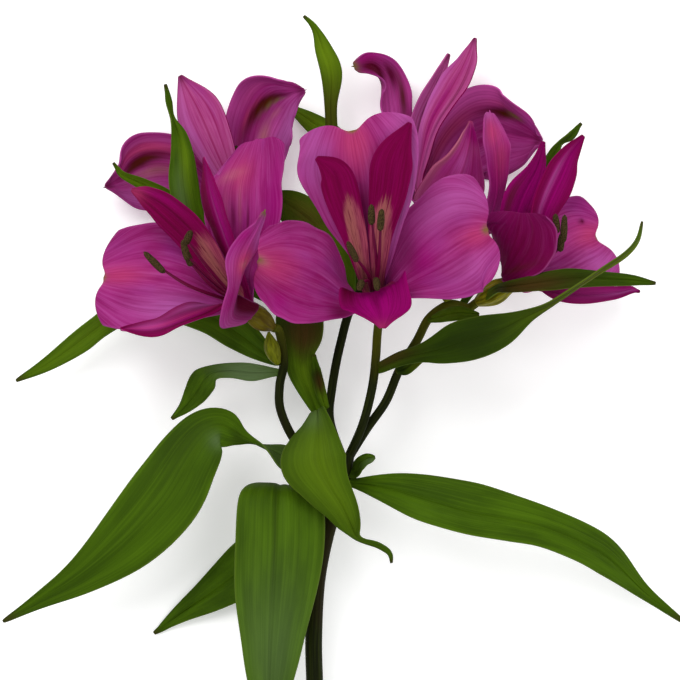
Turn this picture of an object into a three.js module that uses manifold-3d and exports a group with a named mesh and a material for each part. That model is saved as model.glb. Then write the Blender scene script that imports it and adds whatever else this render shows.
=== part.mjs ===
// Alstroemeria stem: one cut flowering stem, lying on its back on a flat surface.
// Millimetres and degrees. The plant is drawn in its growing frame: the origin is where the
// flower stalks leave the stem, +Y runs up the stem, +Z comes out of the front bloom and
// +X is on the right of someone facing that bloom. The whole plant is then laid down.
import * as THREE from 'three';
import { mergeVertices } from 'three/addons/utils/BufferGeometryUtils.js';
import Module from 'manifold-3d';

const wasm = await Module();
wasm.setup();

// Driving dimensions.
const STEM_RADIUS = 2.3;
const CUT_END = -252; // height of the cut end, below the umbel
const LEAN = 3.6; // the stem slopes down by this much from the head to its cut end
const FLAT_DEPTH = 0.3; // the cut end is worn this far where it rests
const BLADE = 0.8; // thickness of tepals and leaves
const RAY_RADIUS = 1.2;
const OVARY_LENGTH = 9;
const OVARY_RADIUS = 3;
const FILAMENT_RADIUS = 0.45;
const ANTHER_RADIUS = 1.2;
const GAP = 0.3; // clearance between a flower stalk and its ovary
const OUTER_HUB = { from: 0.3, to: 2.1, radius: 3.0 };
const INNER_HUB = { from: 2.4, to: 3.8, radius: 2.3 };
const STAMEN_HUB = { from: 4.3, to: 5.2, radius: 1.6 };
const FRAME_STEPS = 48; // steps in which a blade's frame is carried along its rib

// Finishes.
const FINISH = {
  stem: { color: 0x3c4a18, roughness: 0.55 },
  ovary: { color: 0x7a8420, roughness: 0.5 },
  outer: { color: 0xa03c8c, roughness: 0.55 },
  inner: { color: 0x7c0846, roughness: 0.55 },
  stamen: { color: 0x5a1030, roughness: 0.6 },
  leaf: { color: 0x4c7010, roughness: 0.5 },
  bract: { color: 0x557a14, roughness: 0.5 },
  bud: { color: 0x6e7818, roughness: 0.5 },
};

// The table top, seen from the plant's own frame.
const lean = THREE.MathUtils.degToRad(LEAN);
const tableUp = new THREE.Vector3(0, Math.sin(lean), Math.cos(lean));
const tableLift = STEM_RADIUS - FLAT_DEPTH - CUT_END * Math.sin(lean);
const heightOverTable = (point) => point.dot(tableUp) + tableLift;

const vector = (values) => new THREE.Vector3(values[0], values[1], values[2]);
const curveThrough = (points) => new THREE.CatmullRomCurve3(points.map(vector), false, 'catmullrom', 0.5);

function meshOf(points, triangles) {
  const geometry = new THREE.BufferGeometry();
  geometry.setAttribute('position', new THREE.Float32BufferAttribute(points.flatMap((p) => p.toArray()), 3));
  geometry.setIndex(triangles.flat());
  return geometry;
}

function solidOf(geometry) {
  const bare = geometry.clone();
  bare.deleteAttribute('normal');
  bare.deleteAttribute('uv');
  const merged = mergeVertices(bare, 1e-4);
  return new wasm.Manifold(new wasm.Mesh({
    numProp: 3,
    vertProperties: new Float32Array(merged.attributes.position.array),
    triVerts: new Uint32Array(merged.index.array),
  }));
}

function geometryOf(solid) {
  const { vertProperties, triVerts } = solid.getMesh();
  const geometry = new THREE.BufferGeometry();
  geometry.setAttribute('position', new THREE.Float32BufferAttribute(vertProperties, 3));
  geometry.setIndex(new THREE.BufferAttribute(triVerts, 1));
  geometry.computeVertexNormals();
  return geometry;
}

const fuse = (geometries) => geometryOf(geometries.map(solidOf).reduce((all, next) => all.add(next)));

// A blade follows its midrib. Each station of the rib is
// [x, y, z, half width, twist about the rib, half angle that the blade is rolled through].
// crown is [height of the two lobes beside the notch, drop of the outer corners] at the tip,
// and ruffle is [height, waves, phase] of the waved edge.
function blade({ rib, face, rows = 8, columns = 4, crown = [0, 0], ruffle = [0, 1, 0] }) {
  const path = curveThrough(rib);
  const form = curveThrough(rib.map(([, , , half, twist = 0, roll = 0]) => [half, twist, roll]));
  const normal = vector(face);
  const front = [];
  const back = [];
  for (let step = 0; step <= FRAME_STEPS; step += 1) {
    const u = step / FRAME_STEPS;
    const along = path.getTangent(u);
    normal.projectOnPlane(along).normalize();
    if (step % (FRAME_STEPS / rows) !== 0) {
      continue;
    }
    const { x: width, y: twist, z: roll } = form.getPoint(u);
    const half = Math.max(width, 0.4);
    const bend = THREE.MathUtils.degToRad(Math.abs(roll) < 1 ? 1 : roll);
    const up = normal.clone().applyAxisAngle(along, THREE.MathUtils.degToRad(twist));
    const side = new THREE.Vector3().crossVectors(along, up);
    for (let column = 0; column <= columns; column += 1) {
      const v = (2 * column) / columns - 1;
      const wave = ruffle[0] * v * v * Math.min(1, 3 * u)
        * Math.sin(2 * Math.PI * ruffle[1] * u + ruffle[2] + (v > 0 ? 1.3 : 0));
      const reach = crown[0] * (1 - (1 - Math.abs(v)) ** 2.5) - crown[1] * Math.abs(v) ** 2.5;
      const middle = path.getPoint(u)
        .addScaledVector(side, (half * Math.sin(v * bend)) / bend)
        .addScaledVector(up, (half * (1 - Math.cos(v * bend))) / bend + wave)
        .addScaledVector(along, reach * u ** 4);
      const out = up.clone().multiplyScalar(Math.cos(v * bend)).addScaledVector(side, -Math.sin(v * bend));
      const sunk = BLADE / 2 - heightOverTable(middle);
      if (sunk > 0) {
        middle.addScaledVector(tableUp, sunk);
        out.copy(tableUp).multiplyScalar(Math.sign(out.dot(tableUp)) || 1);
      }
      front.push(middle.clone().addScaledVector(out, BLADE / 2));
      back.push(middle.clone().addScaledVector(out, -BLADE / 2));
    }
  }
  const wide = columns + 1;
  const under = front.length;
  const triangles = [];
  const quad = (a, b, c, d) => triangles.push([a, b, c], [a, c, d]);
  for (let row = 0; row < rows; row += 1) {
    for (let column = 0; column < columns; column += 1) {
      const a = row * wide + column;
      triangles.push([a, a + 1, a + wide + 1], [a, a + wide + 1, a + wide]);
      triangles.push([under + a, under + a + wide + 1, under + a + 1]);
      triangles.push([under + a, under + a + wide, under + a + wide + 1]);
    }
    const left = row * wide;
    const right = left + columns;
    quad(left, left + wide, under + left + wide, under + left);
    quad(right, under + right, under + right + wide, right + wide);
  }
  for (let column = 0; column < columns; column += 1) {
    const end = rows * wide + column;
    quad(column, under + column, under + column + 1, column + 1);
    quad(end, end + 1, under + end + 1, under + end);
  }
  return meshOf([...front, ...back], triangles);
}

// A round stalk through points [x, y, z, radius], with an optional number of raised ribs.
function stalk(points, { sides = 6, steps = 12, ribs = 0, relief = 0 } = {}) {
  const path = curveThrough(points);
  const girth = curveThrough(points.map(([, , , radius]) => [radius, 0, 0]));
  const normal = new THREE.Vector3(0.31, 0.2, 0.93);
  const rings = [];
  for (let step = 0; step <= steps; step += 1) {
    const along = path.getTangent(step / steps);
    normal.projectOnPlane(along).normalize();
    const side = new THREE.Vector3().crossVectors(along, normal);
    const centre = path.getPoint(step / steps);
    const radius = Math.max(girth.getPoint(step / steps).x, 0.3);
    for (let corner = 0; corner < sides; corner += 1) {
      const angle = (2 * Math.PI * corner) / sides;
      const reach = radius * (1 + relief * Math.cos(ribs * angle));
      rings.push(centre.clone()
        .addScaledVector(side, reach * Math.cos(angle))
        .addScaledVector(normal, reach * Math.sin(angle)));
    }
  }
  const triangles = [];
  for (let step = 0; step < steps; step += 1) {
    for (let corner = 0; corner < sides; corner += 1) {
      const a = step * sides + corner;
      const b = step * sides + ((corner + 1) % sides);
      triangles.push([a, b + sides, b], [a, a + sides, b + sides]);
    }
  }
  const last = steps * sides;
  for (let corner = 1; corner < sides - 1; corner += 1) {
    triangles.push([0, corner, corner + 1], [last, last + corner + 1, last + corner]);
  }
  return meshOf(rings, triangles);
}

// The disc on top of the ovary that carries one whorl of a bloom.
function hubDisc(hub, axis, { from, to, radius }) {
  const disc = new THREE.CylinderGeometry(radius, radius, to - from, 10, 1);
  disc.applyQuaternion(new THREE.Quaternion().setFromUnitVectors(new THREE.Vector3(0, 1, 0), axis));
  const middle = hub.clone().addScaledVector(axis, (from + to) / 2);
  return disc.translate(middle.x, middle.y, middle.z);
}

// Blooms. A tepal's stations start past its claw; the claw itself runs from the hub.
const BLOOMS = [
  {
    name: 'front',
    hub: [7.6, 40.5, 12],
    axis: [-0.1, 0.35, 0.93],
    outer: [
      { rib: [[7, 52, 19, 5], [5, 64, 22.5, 11.5], [3.3, 77, 25, 16.9, 0, 12], [1.6, 87, 26.5, 15.2, 0, 8]],
        crown: [2.8, 3.4] },
      { rib: [[-0.5, 42.5, 18.5, 7], [-8, 46.5, 22.5, 15.2], [-16, 49.6, 24.5, 15.8],
        [-22.8, 51.5, 25.5, 12.3]], crown: [1.5, 3] },
      { rib: [[13.5, 46, 17.5, 5.5, 0, 20], [22.5, 52.6, 21, 14.2, 0, 18], [30.8, 58.2, 23.5, 16.9],
        [37.8, 60.4, 25, 14.4]], crown: [2.6, 2.4] },
    ],
    inner: [
      { rib: [[4.2, 50.5, 22.5, 2.2], [1.8, 60, 26.5, 3.6], [-1.2, 70, 29.5, 4.8], [-3.2, 75.5, 30.5, 4.2],
        [-7.9, 79.3, 31, 0.5]] },
      { rib: [[8.6, 50.5, 22.5, 2.3], [9.3, 61, 26.5, 3.8], [11, 70, 29, 5.4], [12.8, 79.5, 31.5, 5.4],
        [17, 88.5, 33.5, 0.5]] },
      { rib: [[6.3, 41, 22, 4, 0, 20], [7, 42.5, 29, 9.8, 0, 35], [8.5, 39.5, 35, 8.8, 0, 20],
        [10, 34, 37.5, 0.8]], ruffle: [0.8, 2, 0] },
    ],
    stamens: [
      [[8.2, 50, 27], [6.8, 61.3, 36], [6.6, 66.8, 38]],
      [[8.6, 50, 28], [9, 59.7, 37], [9.4, 65.6, 38.5]],
      [[6, 48, 28], [3, 51.6, 35], [0.3, 57, 37]],
      [[6, 46.5, 27], [4.4, 46.8, 32], [3.2, 44.1, 34.5]],
      [[7.4, 46.5, 27], [8, 47.5, 32], [8.2, 44, 35]],
    ],
  },
  {
    name: 'left',
    hub: [-25.5, 38.5, 8],
    axis: [-0.62, 0.45, 0.64],
    outer: [
      { rib: [[-34, 42, 8, 5], [-44, 46, 8, 12.5], [-55, 47.6, 5, 15.8], [-65.8, 47.8, 0, 13.4]],
        crown: [2, 3.6] },
      { rib: [[-28, 49, 8.5, 5], [-27.5, 61, 6, 9.5, 15, 10], [-26.8, 73, 4, 11.3, 20, 14],
        [-24.5, 82.5, 2, 9, 20]], crown: [2.4, 4.4] },
      { rib: [[-26.5, 37, 16, 4.5, 0, 20], [-30.5, 38, 25, 5.3, 27, 30], [-29.4, 46, 31, 5.5, 30, 30],
        [-27.2, 55, 34, 6.5, 14, 30], [-24.3, 61, 35, 5, 10, 25], [-22, 65, 35.3, 2.2, 10]],
        crown: [0.5, 1] },
    ],
    inner: [
      { rib: [[-33, 48, 12.5, 3], [-40, 57, 14, 5], [-48, 64.5, 13, 5.4], [-57.6, 71.3, 10, 0.5]] },
      { rib: [[-29.3, 50.2, 14.2, 2.8], [-33, 60, 16.5, 4], [-37, 70, 17, 3.4], [-38, 80, 16, 0.5]] },
      { rib: [[-31, 41, 15.5, 3, -30, 15], [-40, 38, 21, 4.2, -72, 20], [-50, 34.4, 24, 4.3, -72, 20],
        [-60, 33.6, 26, 0.5, -72]] },
    ],
    stamens: [
      [[-38, 44.6, 19], [-48.5, 49.3, 24], [-53.8, 54.5, 24]],
      [[-36.5, 47.5, 20], [-42.2, 52, 26], [-43.3, 60, 27]],
      [[-35.8, 49, 18], [-41.6, 55, 21], [-41, 59.6, 22]],
      [[-36, 46, 20], [-40.4, 48.8, 26], [-43.6, 52.2, 28]],
    ],
  },
  {
    name: 'upper_left',
    hub: [-27, 60, -14],
    axis: [-0.1, 0.97, 0.2],
    outer: [
      { rib: [[-25, 69, -18.5, 5], [-24.5, 80, -20, 8.8, 0, 25], [-22.5, 89, -19, 10.8, 0, 35],
        [-18.8, 95.3, -14, 10, 0, 45], [-14.8, 97.5, -9, 4.6, 0, 35], [-11.3, 98.6, -5.5, 1.2, 0, 20]],
        crown: [0.5, 1] },
      { rib: [[-33, 66.5, -17, 5, -20], [-41, 72.3, -21.5, 9.5, -45, 20], [-48.5, 75.6, -23, 10.8, -45, 30],
        [-55.3, 75.2, -21.5, 10.8, -45, 40], [-61, 73.2, -17, 7.4, -45, 40],
        [-65.3, 72.6, -12, 1.2, -30, 20]], crown: [0.5, 1] },
      { rib: [[-26, 67.5, -8.5, 4.5], [-24.5, 75, -5, 7], [-23, 81, -3.5, 6.5], [-21.5, 85, -3, 4]],
        crown: [0.5, 2] },
    ],
    inner: [
      { rib: [[-30.5, 71.5, -11, 3, 30], [-35.5, 83.5, -10.5, 6, 60, -20], [-40, 93.5, -11, 6.4, 70, -20],
        [-45.2, 103, -12, 0.5, 70]] },
      { rib: [[-29.5, 71, -15.5, 2.5], [-33, 80, -17, 3.6], [-36.5, 87, -17, 3.4], [-39, 92.5, -17, 0.5]] },
      { rib: [[-23.8, 69.5, -13, 2.5], [-22.5, 76, -11.5, 3.5], [-21.8, 80, -11, 3],
        [-21.5, 84, -10.5, 0.5]] },
    ],
    stamens: [
      [[-28, 72, -13], [-29, 79, -14], [-30, 84, -14]],
      [[-27.5, 72, -12], [-27.5, 78, -10.5], [-28, 83, -9.5]],
      [[-28.5, 71, -12.5], [-31, 76, -12.5], [-33, 80, -13]],
    ],
  },
  {
    name: 'upper_right',
    hub: [21, 66, -10],
    axis: [0.33, 0.93, -0.14],
    outer: [
      { rib: [[17, 76, -14, 4.5], [13, 87, -16.5, 6.5, -20, 40], [12, 95, -17, 6.4, -30, 50],
        [10.8, 101.5, -15.5, 6, -20, 50], [7.3, 105.3, -11, 4, 0, 40], [2.3, 105.3, -8, 1.8]],
        crown: [0.5, 0.5] },
      { rib: [[28, 75, -15, 5, 20], [34.4, 83, -21, 9.6, 45, 25], [40.6, 87, -23.4, 11.4, 45, 30],
        [46.2, 87.2, -21, 8, 45, 40], [50.2, 86, -17, 4.6, 45, 40], [53.4, 85, -13.5, 1.2, 30, 20]],
        crown: [0.5, 1] },
      { rib: [[30, 70, -3, 4.5], [36, 77.5, 0.5, 6, 0, -30], [38.5, 85, 1.5, 5.8, 0, -40],
        [38.8, 92, -1.5, 2.7]], crown: [0.5, 0.5] },
    ],
    inner: [
      { rib: [[19.5, 78, -14, 3, -20], [20.9, 90, -18, 3.5, -30], [24.5, 100.5, -19.5, 2.7, -30],
        [28.2, 109.3, -19.5, 0.5, -30]] },
      { rib: [[22.5, 78, -9.5, 3], [26.3, 89, -9, 5.6, 20, -20], [30.2, 99.5, -11, 6.2, 20, -20],
        [33.3, 107, -12, 3.5, 20], [35.2, 113.3, -12.5, 0.5, 20]] },
      { rib: [[24.5, 76, -5.5, 2.6], [27.5, 82, -4, 3.6], [33.5, 89.8, -4.5, 0.5]] },
    ],
    stamens: [
      [[24, 77, -12], [27, 84, -13], [29, 88, -13.5]],
      [[25, 77, -11.5], [29.5, 83, -10.5], [32, 87, -10.5]],
      [[24.5, 77, -13], [30, 84.5, -15], [33, 88, -16]],
    ],
  },
  {
    name: 'right',
    hub: [42.6, 45.2, 5],
    axis: [0.8, 0.45, 0.38],
    outer: [
      { rib: [[43.3, 50, 10.2, 4.6, 10, 20], [45.4, 55.5, 13.5, 8.4, 30, 20], [47.4, 60.5, 14.5, 8.8, 35, 20],
        [47.8, 65, 14.5, 7.2, 35]], crown: [0.5, 1] },
      { rib: [[50, 49.5, 3, 5], [57.5, 53.8, 2, 10.5], [63, 57.3, 0.5, 13.2], [67.8, 58.9, -1.5, 11]],
        crown: [2.4, 3.6] },
      { rib: [[50, 48.3, 1, 4.5], [58, 49.5, -4, 6.5], [66, 49.8, -8, 6.2], [71.5, 49.5, -10, 4.2]],
        crown: [1, 2] },
    ],
    inner: [
      { rib: [[45.1, 57, 3.2, 2.6, -20], [48.6, 68.5, 2, 4.7, -30], [51.8, 77.3, 0, 2.7, -30],
        [53.4, 84.8, -2, 0.5, -30]] },
      { rib: [[50, 56.5, 8, 3, -20], [53.8, 67, 9, 4.8, -30], [57.7, 75.5, 8.5, 5.2, -30],
        [60.4, 81, 7.5, 3.2, -30], [64, 86, 6, 0.5, -30]] },
      { rib: [[50.5, 45, 9, 2.8], [58, 43.3, 11, 3, 50, 15], [67, 43.2, 11, 3.2, 55, 15],
        [73.5, 43.6, 10, 2, 55], [79, 44.1, 9, 0.4, 55]] },
    ],
    stamens: [
      [[52, 52, 9.5], [58.2, 57, 12.5], [58.6, 64.6, 13]],
      [[52, 52.5, 9.5], [56.6, 59.5, 13], [56, 64.8, 14]],
      [[52.5, 51.5, 9], [59.5, 55, 12], [63, 57.8, 12]],
    ],
  },
];

// Flower stalks, from the umbel to the foot of each ovary.
const RAYS = {
  left: [[-1, -3, 0], [-8, -1.5, 3], [-14.5, 3.5, 5], [-18.5, 12, 5], [-18, 19, 4], [-16.8, 25, 2.5]],
  upper_left: [[-0.5, -2, -0.5], [-4.8, 8, -5], [-7, 17, -8], [-9.5, 27, -10], [-15, 37, -12.5],
    [-21.2, 44, -14.6]],
  upper_right: [[-0.5, -2, -0.5], [-4.3, 9, -3], [-3.8, 18, -5], [-1.5, 30, -7], [2, 41, -8], [10, 51, -8]],
  front: [[0, -2, 0], [4.4, 8, 3], [7, 18, 4], [8, 26, 1.6], [8.4, 32, -0.6]],
  right: [[0, -2, 0], [5.6, 7, 0], [10.8, 14.5, 1], [15, 23, 2], [19, 31, 3], [22.5, 37, 3], [28, 40.6, 2]],
};

// The stem, from its top in the whorl of leaves down to the cut.
const STEM = [
  [0, 0.5, 0], [-0.6, -4, 0], [-2.6, -12, 0], [-5.6, -22, 0], [-7.9, -34, 0], [-8.7, -48, 0],
  [-8.5, -61, 0], [-7, -96, 0], [-4.4, -140, 0], [-2.2, -190, 0], [-1, CUT_END, 0],
];

// Leaves of the whorl and bracts on the flower stalks.
const LEAVES = [
  {
    name: 'leaf_left', rows: 24, face: [0, 0.4, 1],
    rib: [[-3.5, -6, 1.2, 1.1], [-8.5, -5.2, 1.4, 1.7], [-13.5, -2.4, 2, 3.3], [-18, 0.2, 3.2, 3.6, 20],
      [-24, 3.2, 5, 1.1, 90],
      [-28, 4.6, 6, 2.2, 150, 8], [-33.4, 4.9, 7, 6.2, 172, 12], [-39.6, 0.6, 8.5, 9.4, 180, 12],
      [-48, -11, 9, 10.5, 180, 10], [-59, -22.5, 7, 8.8, 180, 8], [-71.5, -32.7, 3, 5, 180, 8],
      [-83, -39.5, -1, 2.2, 180], [-93, -45.3, -4, 0.4, 180]],
  },
  {
    name: 'leaf_bottom', rows: 24, face: [0, 1, 0],
    rib: [[-4.6, -8.5, -0.5, 1.2], [-9.5, -9, -3, 1.2], [-14.4, -9.2, -4.4, 1.2], [-17.2, -8.8, -1.8, 2],
      [-17.8, -8, 3.5, 8.2, 0, -16], [-17.8, -12, 8.5, 11.6, 0, -12], [-18, -24, 10.5, 12.2, 0, -8],
      [-18.8, -37, 10, 11.3, 0, -8], [-19.6, -49, 8.5, 9, 0, -8], [-20.3, -62, 6.5, 6, 0, -8],
      [-21, -79, 4, 0.4]],
  },
  {
    name: 'leaf_back', rows: 12, face: [0, 0, 1],
    rib: [[-5.2, -10.8, -2.3, 1.5], [-10, -16, -6, 4.5], [-18, -23.5, -9, 7, 0, 10],
      [-27, -31, -11, 7.2, 0, 10], [-36, -37.5, -12.5, 5.2], [-45, -43.5, -13.5, 2.6],
      [-52.3, -49, -14.5, 0.4]],
  },
  {
    name: 'leaf_front', rows: 24, face: [0, 0, -1],
    rib: [[-1.8, 0.5, 3, 1.2], [-4.5, 5.5, 3.5, 1.5], [-7.3, 11, 5.5, 1.8], [-7.6, 12, 9.5, 2],
      [-7, 8, 13, 3], [-7.6, 3.5, 15, 6.6], [-8, -1.2, 16, 9.2], [-5.3, -7, 15.5, 7.2],
      [-2.2, -13, 14.5, 5.3], [0.6, -18.5, 13, 3.3], [3.4, -22.3, 12.5, 1], [8, -24, 13.5, 0.9],
      [12, -28.5, 15, 0.4]],
  },
  {
    name: 'leaf_right', rows: 12, face: [0, 0.3, 1],
    rib: [[2.2, -7.6, 0.5, 1.4], [7, -8.2, 3, 2.9], [14, -9.5, 6, 4.9], [23, -12, 9, 6.8, 0, 8],
      [33, -14.8, 10, 7.5, 0, 10], [43, -17.2, 9, 6.9, 0, 10], [53, -19.8, 7, 5.9, 0, 8],
      [63, -24.5, 4, 5.2], [72, -29.5, 0, 4.2], [81, -37.5, -5, 2], [92.5, -46, -10, 0.4]],
  },
  {
    name: 'leaf_small', rows: 6, columns: 2, face: [0, 0.3, 1],
    rib: [[3.4, -4.4, 1.4, 1.6], [4.3, -2.4, 2.4, 2], [5.6, -1.3, 3.2, 1.8], [7.6, -0.8, 3.4, 1]],
  },
  {
    name: 'bract_far_left', rows: 12, face: [0, 0, 1],
    rib: [[-19, 25.2, 1.4, 1.2], [-24, 29, -2, 3.5], [-30, 33.5, -5, 5], [-38, 38, -8, 5],
      [-50, 41, -10, 4.5], [-60, 39, -9.8, 3.8], [-67, 34.6, -9.3, 3.2], [-72.5, 30.3, -9, 3.2],
      [-81, 24.5, -9, 2], [-89.7, 19.8, -10, 0.4]],
  },
  {
    name: 'bract_curled', rows: 12, columns: 2, face: [0, 0.3, 1],
    rib: [[-19.1, 22.3, 3.6, 1.2], [-25, 22.3, 3.4, 2.5], [-31, 22.7, 3.4, 2], [-36.5, 22.4, 4.4, 1.4, 60],
      [-38.2, 20.2, 6, 3.2, 150], [-40.3, 16.3, 8, 3, 165], [-43, 12.8, 8.8, 1.8, 165],
      [-46.9, 9.8, 9, 0.4, 165]],
  },
  {
    name: 'bract_top', rows: 12, columns: 2, face: [0, 0, 1],
    rib: [[3.4, 44, -9.9, 1], [-0.6, 56, -13.5, 1.4], [-3.2, 72, -12.5, 1.5], [-3.8, 86, -11.5, 1.7],
      [-4.1, 95, -10.5, 1.8], [-3.9, 103.5, -9.5, 3], [-6.1, 110, -9, 2.4], [-8.3, 115.5, -8.5, 1],
      [-11.5, 119, -8, 0.4]],
  },
  {
    name: 'bract_centre', rows: 12, face: [0, 0, 1],
    rib: [[1.4, 41.6, -5.9, 1], [0, 47.5, -4.6, 2.8], [-3, 54.5, -4, 4.4], [-9, 62.5, -4.5, 5.2],
      [-15.5, 67.5, -5.5, 4.5], [-22, 71, -7.5, 0.4]],
  },
  {
    name: 'bract_upper', rows: 8, columns: 2, face: [0, 0, 1],
    rib: [[13.4, 53.7, -10.1, 1], [9.6, 66, -16.6, 2.5], [3.5, 78, -19, 3.6], [-3.5, 86, -20, 3.6],
      [-10, 91, -20, 2.6], [-16.5, 95.5, -24, 0.4]],
  },
  {
    name: 'bract_long', rows: 16, face: [0, 0, 1],
    rib: [[9.4, 24, 3.5, 1.2], [14.6, 25.7, 8.3, 1.9], [22, 28, 14, 3.4], [28, 30, 18, 5], [35, 31.8, 21, 5.7],
      [42, 34, 23, 4.4], [48, 37.3, 24.5, 2.1, 20], [54, 40.3, 25.5, 1.2, 50], [61, 45, 26, 1.2, 60],
      [68, 49.5, 26, 1.2, 60], [74, 53.5, 25.5, 1.2, 60], [77.5, 57.5, 25, 1, 60], [78.8, 62.7, 24, 0.4, 60]],
  },
  {
    name: 'bract_right', rows: 12, columns: 2, face: [0, 0.3, 1],
    rib: [[40.6, 44.8, 9.5, 1.2], [43.3, 45.2, 14, 1.6], [49, 46, 17, 2.2], [55, 46.9, 18, 2.8],
      [61, 47.5, 18.3, 2.7], [69, 47.3, 18, 2.1], [76, 47, 17, 1.6], [82.9, 46.2, 16, 0.4]],
  },
  {
    name: 'bract_upper_left', rows: 16, face: [0, 0, 1],
    rib: [[-17, 39.9, -11.4, 1], [-24, 44.5, -9.6, 2.2], [-32, 50, -8, 3.2], [-38.5, 57.5, -7, 3.6],
      [-42.3, 65, -6, 3.9], [-44, 74, -5, 4.1], [-44.3, 81, -4, 3.2], [-45.2, 86.5, -4, 2.2],
      [-47, 91.3, -4, 0.8, 40], [-47.9, 95.5, -3.5, 1, 20], [-48.8, 100.3, -3, 0.3]],
  },
  {
    name: 'bract_side', rows: 12, columns: 2, face: [0, 0, 1],
    rib: [[-19.5, 42.4, -16, 1], [-25, 45.5, -18.8, 1.6], [-33, 52, -17, 2.2], [-40.5, 61, -14.5, 2.4],
      [-47.5, 68.7, -11, 2.4], [-55, 73.2, -7.5, 1.7], [-60.5, 75.8, -5, 0.9], [-63, 79, -4, 0.3]],
  },
  {
    name: 'bract_rear', rows: 12, face: [0, 0, 1],
    rib: [[-7, 10.5, -3.2, 1.2], [-10, 16, -3, 2.8], [-13, 23, -3, 4.6], [-14, 30, -4, 6.2],
      [-13.5, 38, -5, 6.4], [-12.5, 46, -6.5, 4], [-11.5, 53, -8, 0.5]],
  },
  {
    name: 'bract_right_tip', rows: 12, columns: 2, face: [0, 0, 1],
    rib: [[31.6, 40.9, -1.1, 1], [41.4, 55.5, -7, 2], [50, 70, -8, 2.2], [55.8, 80.5, -7, 1.6],
      [58, 84.3, -6, 1, 40], [61, 86.3, -5, 1.3, 20], [63.8, 89.8, -5, 0.3]],
  },
  {
    name: 'bract_pedicel', rows: 6, columns: 2, face: [0, 0.3, 1],
    rib: [[23.2, 36.6, 4.8, 1], [26.5, 37.6, 8, 2], [31, 38.2, 10, 2], [35.8, 37.8, 10.5, 0.5]],
  },
];

// Unopened buds on the flower stalks, each from its foot to its tip.
const BUDS = [
  {
    name: 'bud_left',
    points: [[-18.5, 24.6, 3.9, 0.6], [-19.6, 26.5, 4.6, 1.5], [-20.6, 29, 5.4, 1.8], [-21.2, 32, 5.8, 0.5]],
  },
  {
    name: 'bud_right',
    points: [[26.4, 41.6, 3, 0.6], [27.8, 43, 3.6, 1.3], [29.6, 44.6, 4, 1.4], [31.6, 46.2, 4.4, 0.4]],
  },
];

const finished = ([name, finish]) => [name, new THREE.MeshStandardMaterial({ metalness: 0, ...finish })];
const materials = Object.fromEntries(Object.entries(FINISH).map(finished));

const plant = new THREE.Group();

function addPart(name, geometry, finish) {
  const mesh = new THREE.Mesh(geometry, materials[finish]);
  mesh.name = name;
  plant.add(mesh);
}

// A tepal's rib from the middle of its hub disc, out through its claw and on to its tip.
function fromHub(hub, axis, disc, clawReach, clawHalf, stations) {
  const start = hub.clone().addScaledVector(axis, (disc.from + disc.to) / 2);
  const outward = vector(stations[0]).sub(hub).projectOnPlane(axis).normalize();
  const claw = hub.clone().addScaledVector(axis, disc.to + 0.2).addScaledVector(outward, clawReach);
  return [[...start.toArray(), clawHalf], [...claw.toArray(), clawHalf], ...stations];
}

// The ovary stands on the flower stalk, with its ribbed belly a little below its middle.
function ovaryOf(hub, axis) {
  const foot = hub.clone().addScaledVector(axis, -OVARY_LENGTH);
  const belly = hub.clone().addScaledVector(axis, -0.45 * OVARY_LENGTH);
  return stalk([
    [...foot.toArray(), RAY_RADIUS + 0.3],
    [...belly.toArray(), OVARY_RADIUS],
    [...hub.toArray(), 0.8 * OVARY_RADIUS],
  ], { sides: 12, steps: 5, ribs: 6, relief: 0.08 });
}

// A filament from the hub, and the anther balanced on its end.
function stamenOf(root, [middle, foot, tip]) {
  const joint = vector(foot).lerp(vector(tip), 0.1).toArray();
  const belly = vector(foot).lerp(vector(tip), 0.5).toArray();
  const filament = [[...root.toArray(), 0.5], [...middle, FILAMENT_RADIUS], [...joint, FILAMENT_RADIUS]];
  const anther = [[...foot, 0.45], [...belly, ANTHER_RADIUS], [...tip, 0.45]];
  return [stalk(filament, { sides: 3, steps: 4 }), stalk(anther, { sides: 4, steps: 4 })];
}

// The two whorls of tepals, the stamens and the ovary of one bloom.
function addBloom({ name, hub: hubAt, axis: direction, outer, inner, stamens }) {
  const hub = vector(hubAt);
  const axis = vector(direction).normalize();
  const outerBlades = outer.map(({ rib, crown }) => blade({
    rib: fromHub(hub, axis, OUTER_HUB, 3.9, 1.9, rib), face: axis.toArray(), rows: 8, columns: 6, crown,
  }));
  addPart(`outer_tepals_${name}`, fuse([hubDisc(hub, axis, OUTER_HUB), ...outerBlades]), 'outer');
  const innerBlades = inner.map(({ rib, ruffle }) => blade({
    rib: fromHub(hub, axis, INNER_HUB, 3, 1.3, rib), face: axis.toArray(), rows: 6, columns: 4, ruffle,
  }));
  addPart(`inner_tepals_${name}`, fuse([hubDisc(hub, axis, INNER_HUB), ...innerBlades]), 'inner');

  const root = hub.clone().addScaledVector(axis, (STAMEN_HUB.from + STAMEN_HUB.to) / 2);
  const threads = stamens.flatMap((points) => stamenOf(root, points));
  addPart(`stamens_${name}`, fuse([hubDisc(hub, axis, STAMEN_HUB), ...threads]), 'stamen');
  addPart(`ovary_${name}`, ovaryOf(hub, axis), 'ovary');
}

// A flower stalk runs into its ovary along the bloom's axis.
function rayTo({ name, hub, axis }) {
  const inward = vector(axis).normalize().negate();
  const end = vector(hub).addScaledVector(inward, OVARY_LENGTH + GAP);
  const bend = end.clone().addScaledVector(inward, 3);
  const points = [...RAYS[name], bend.toArray(), end.toArray()];
  return stalk(points.map((point) => [...point, RAY_RADIUS]), { sides: 6, steps: 12 });
}

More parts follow.
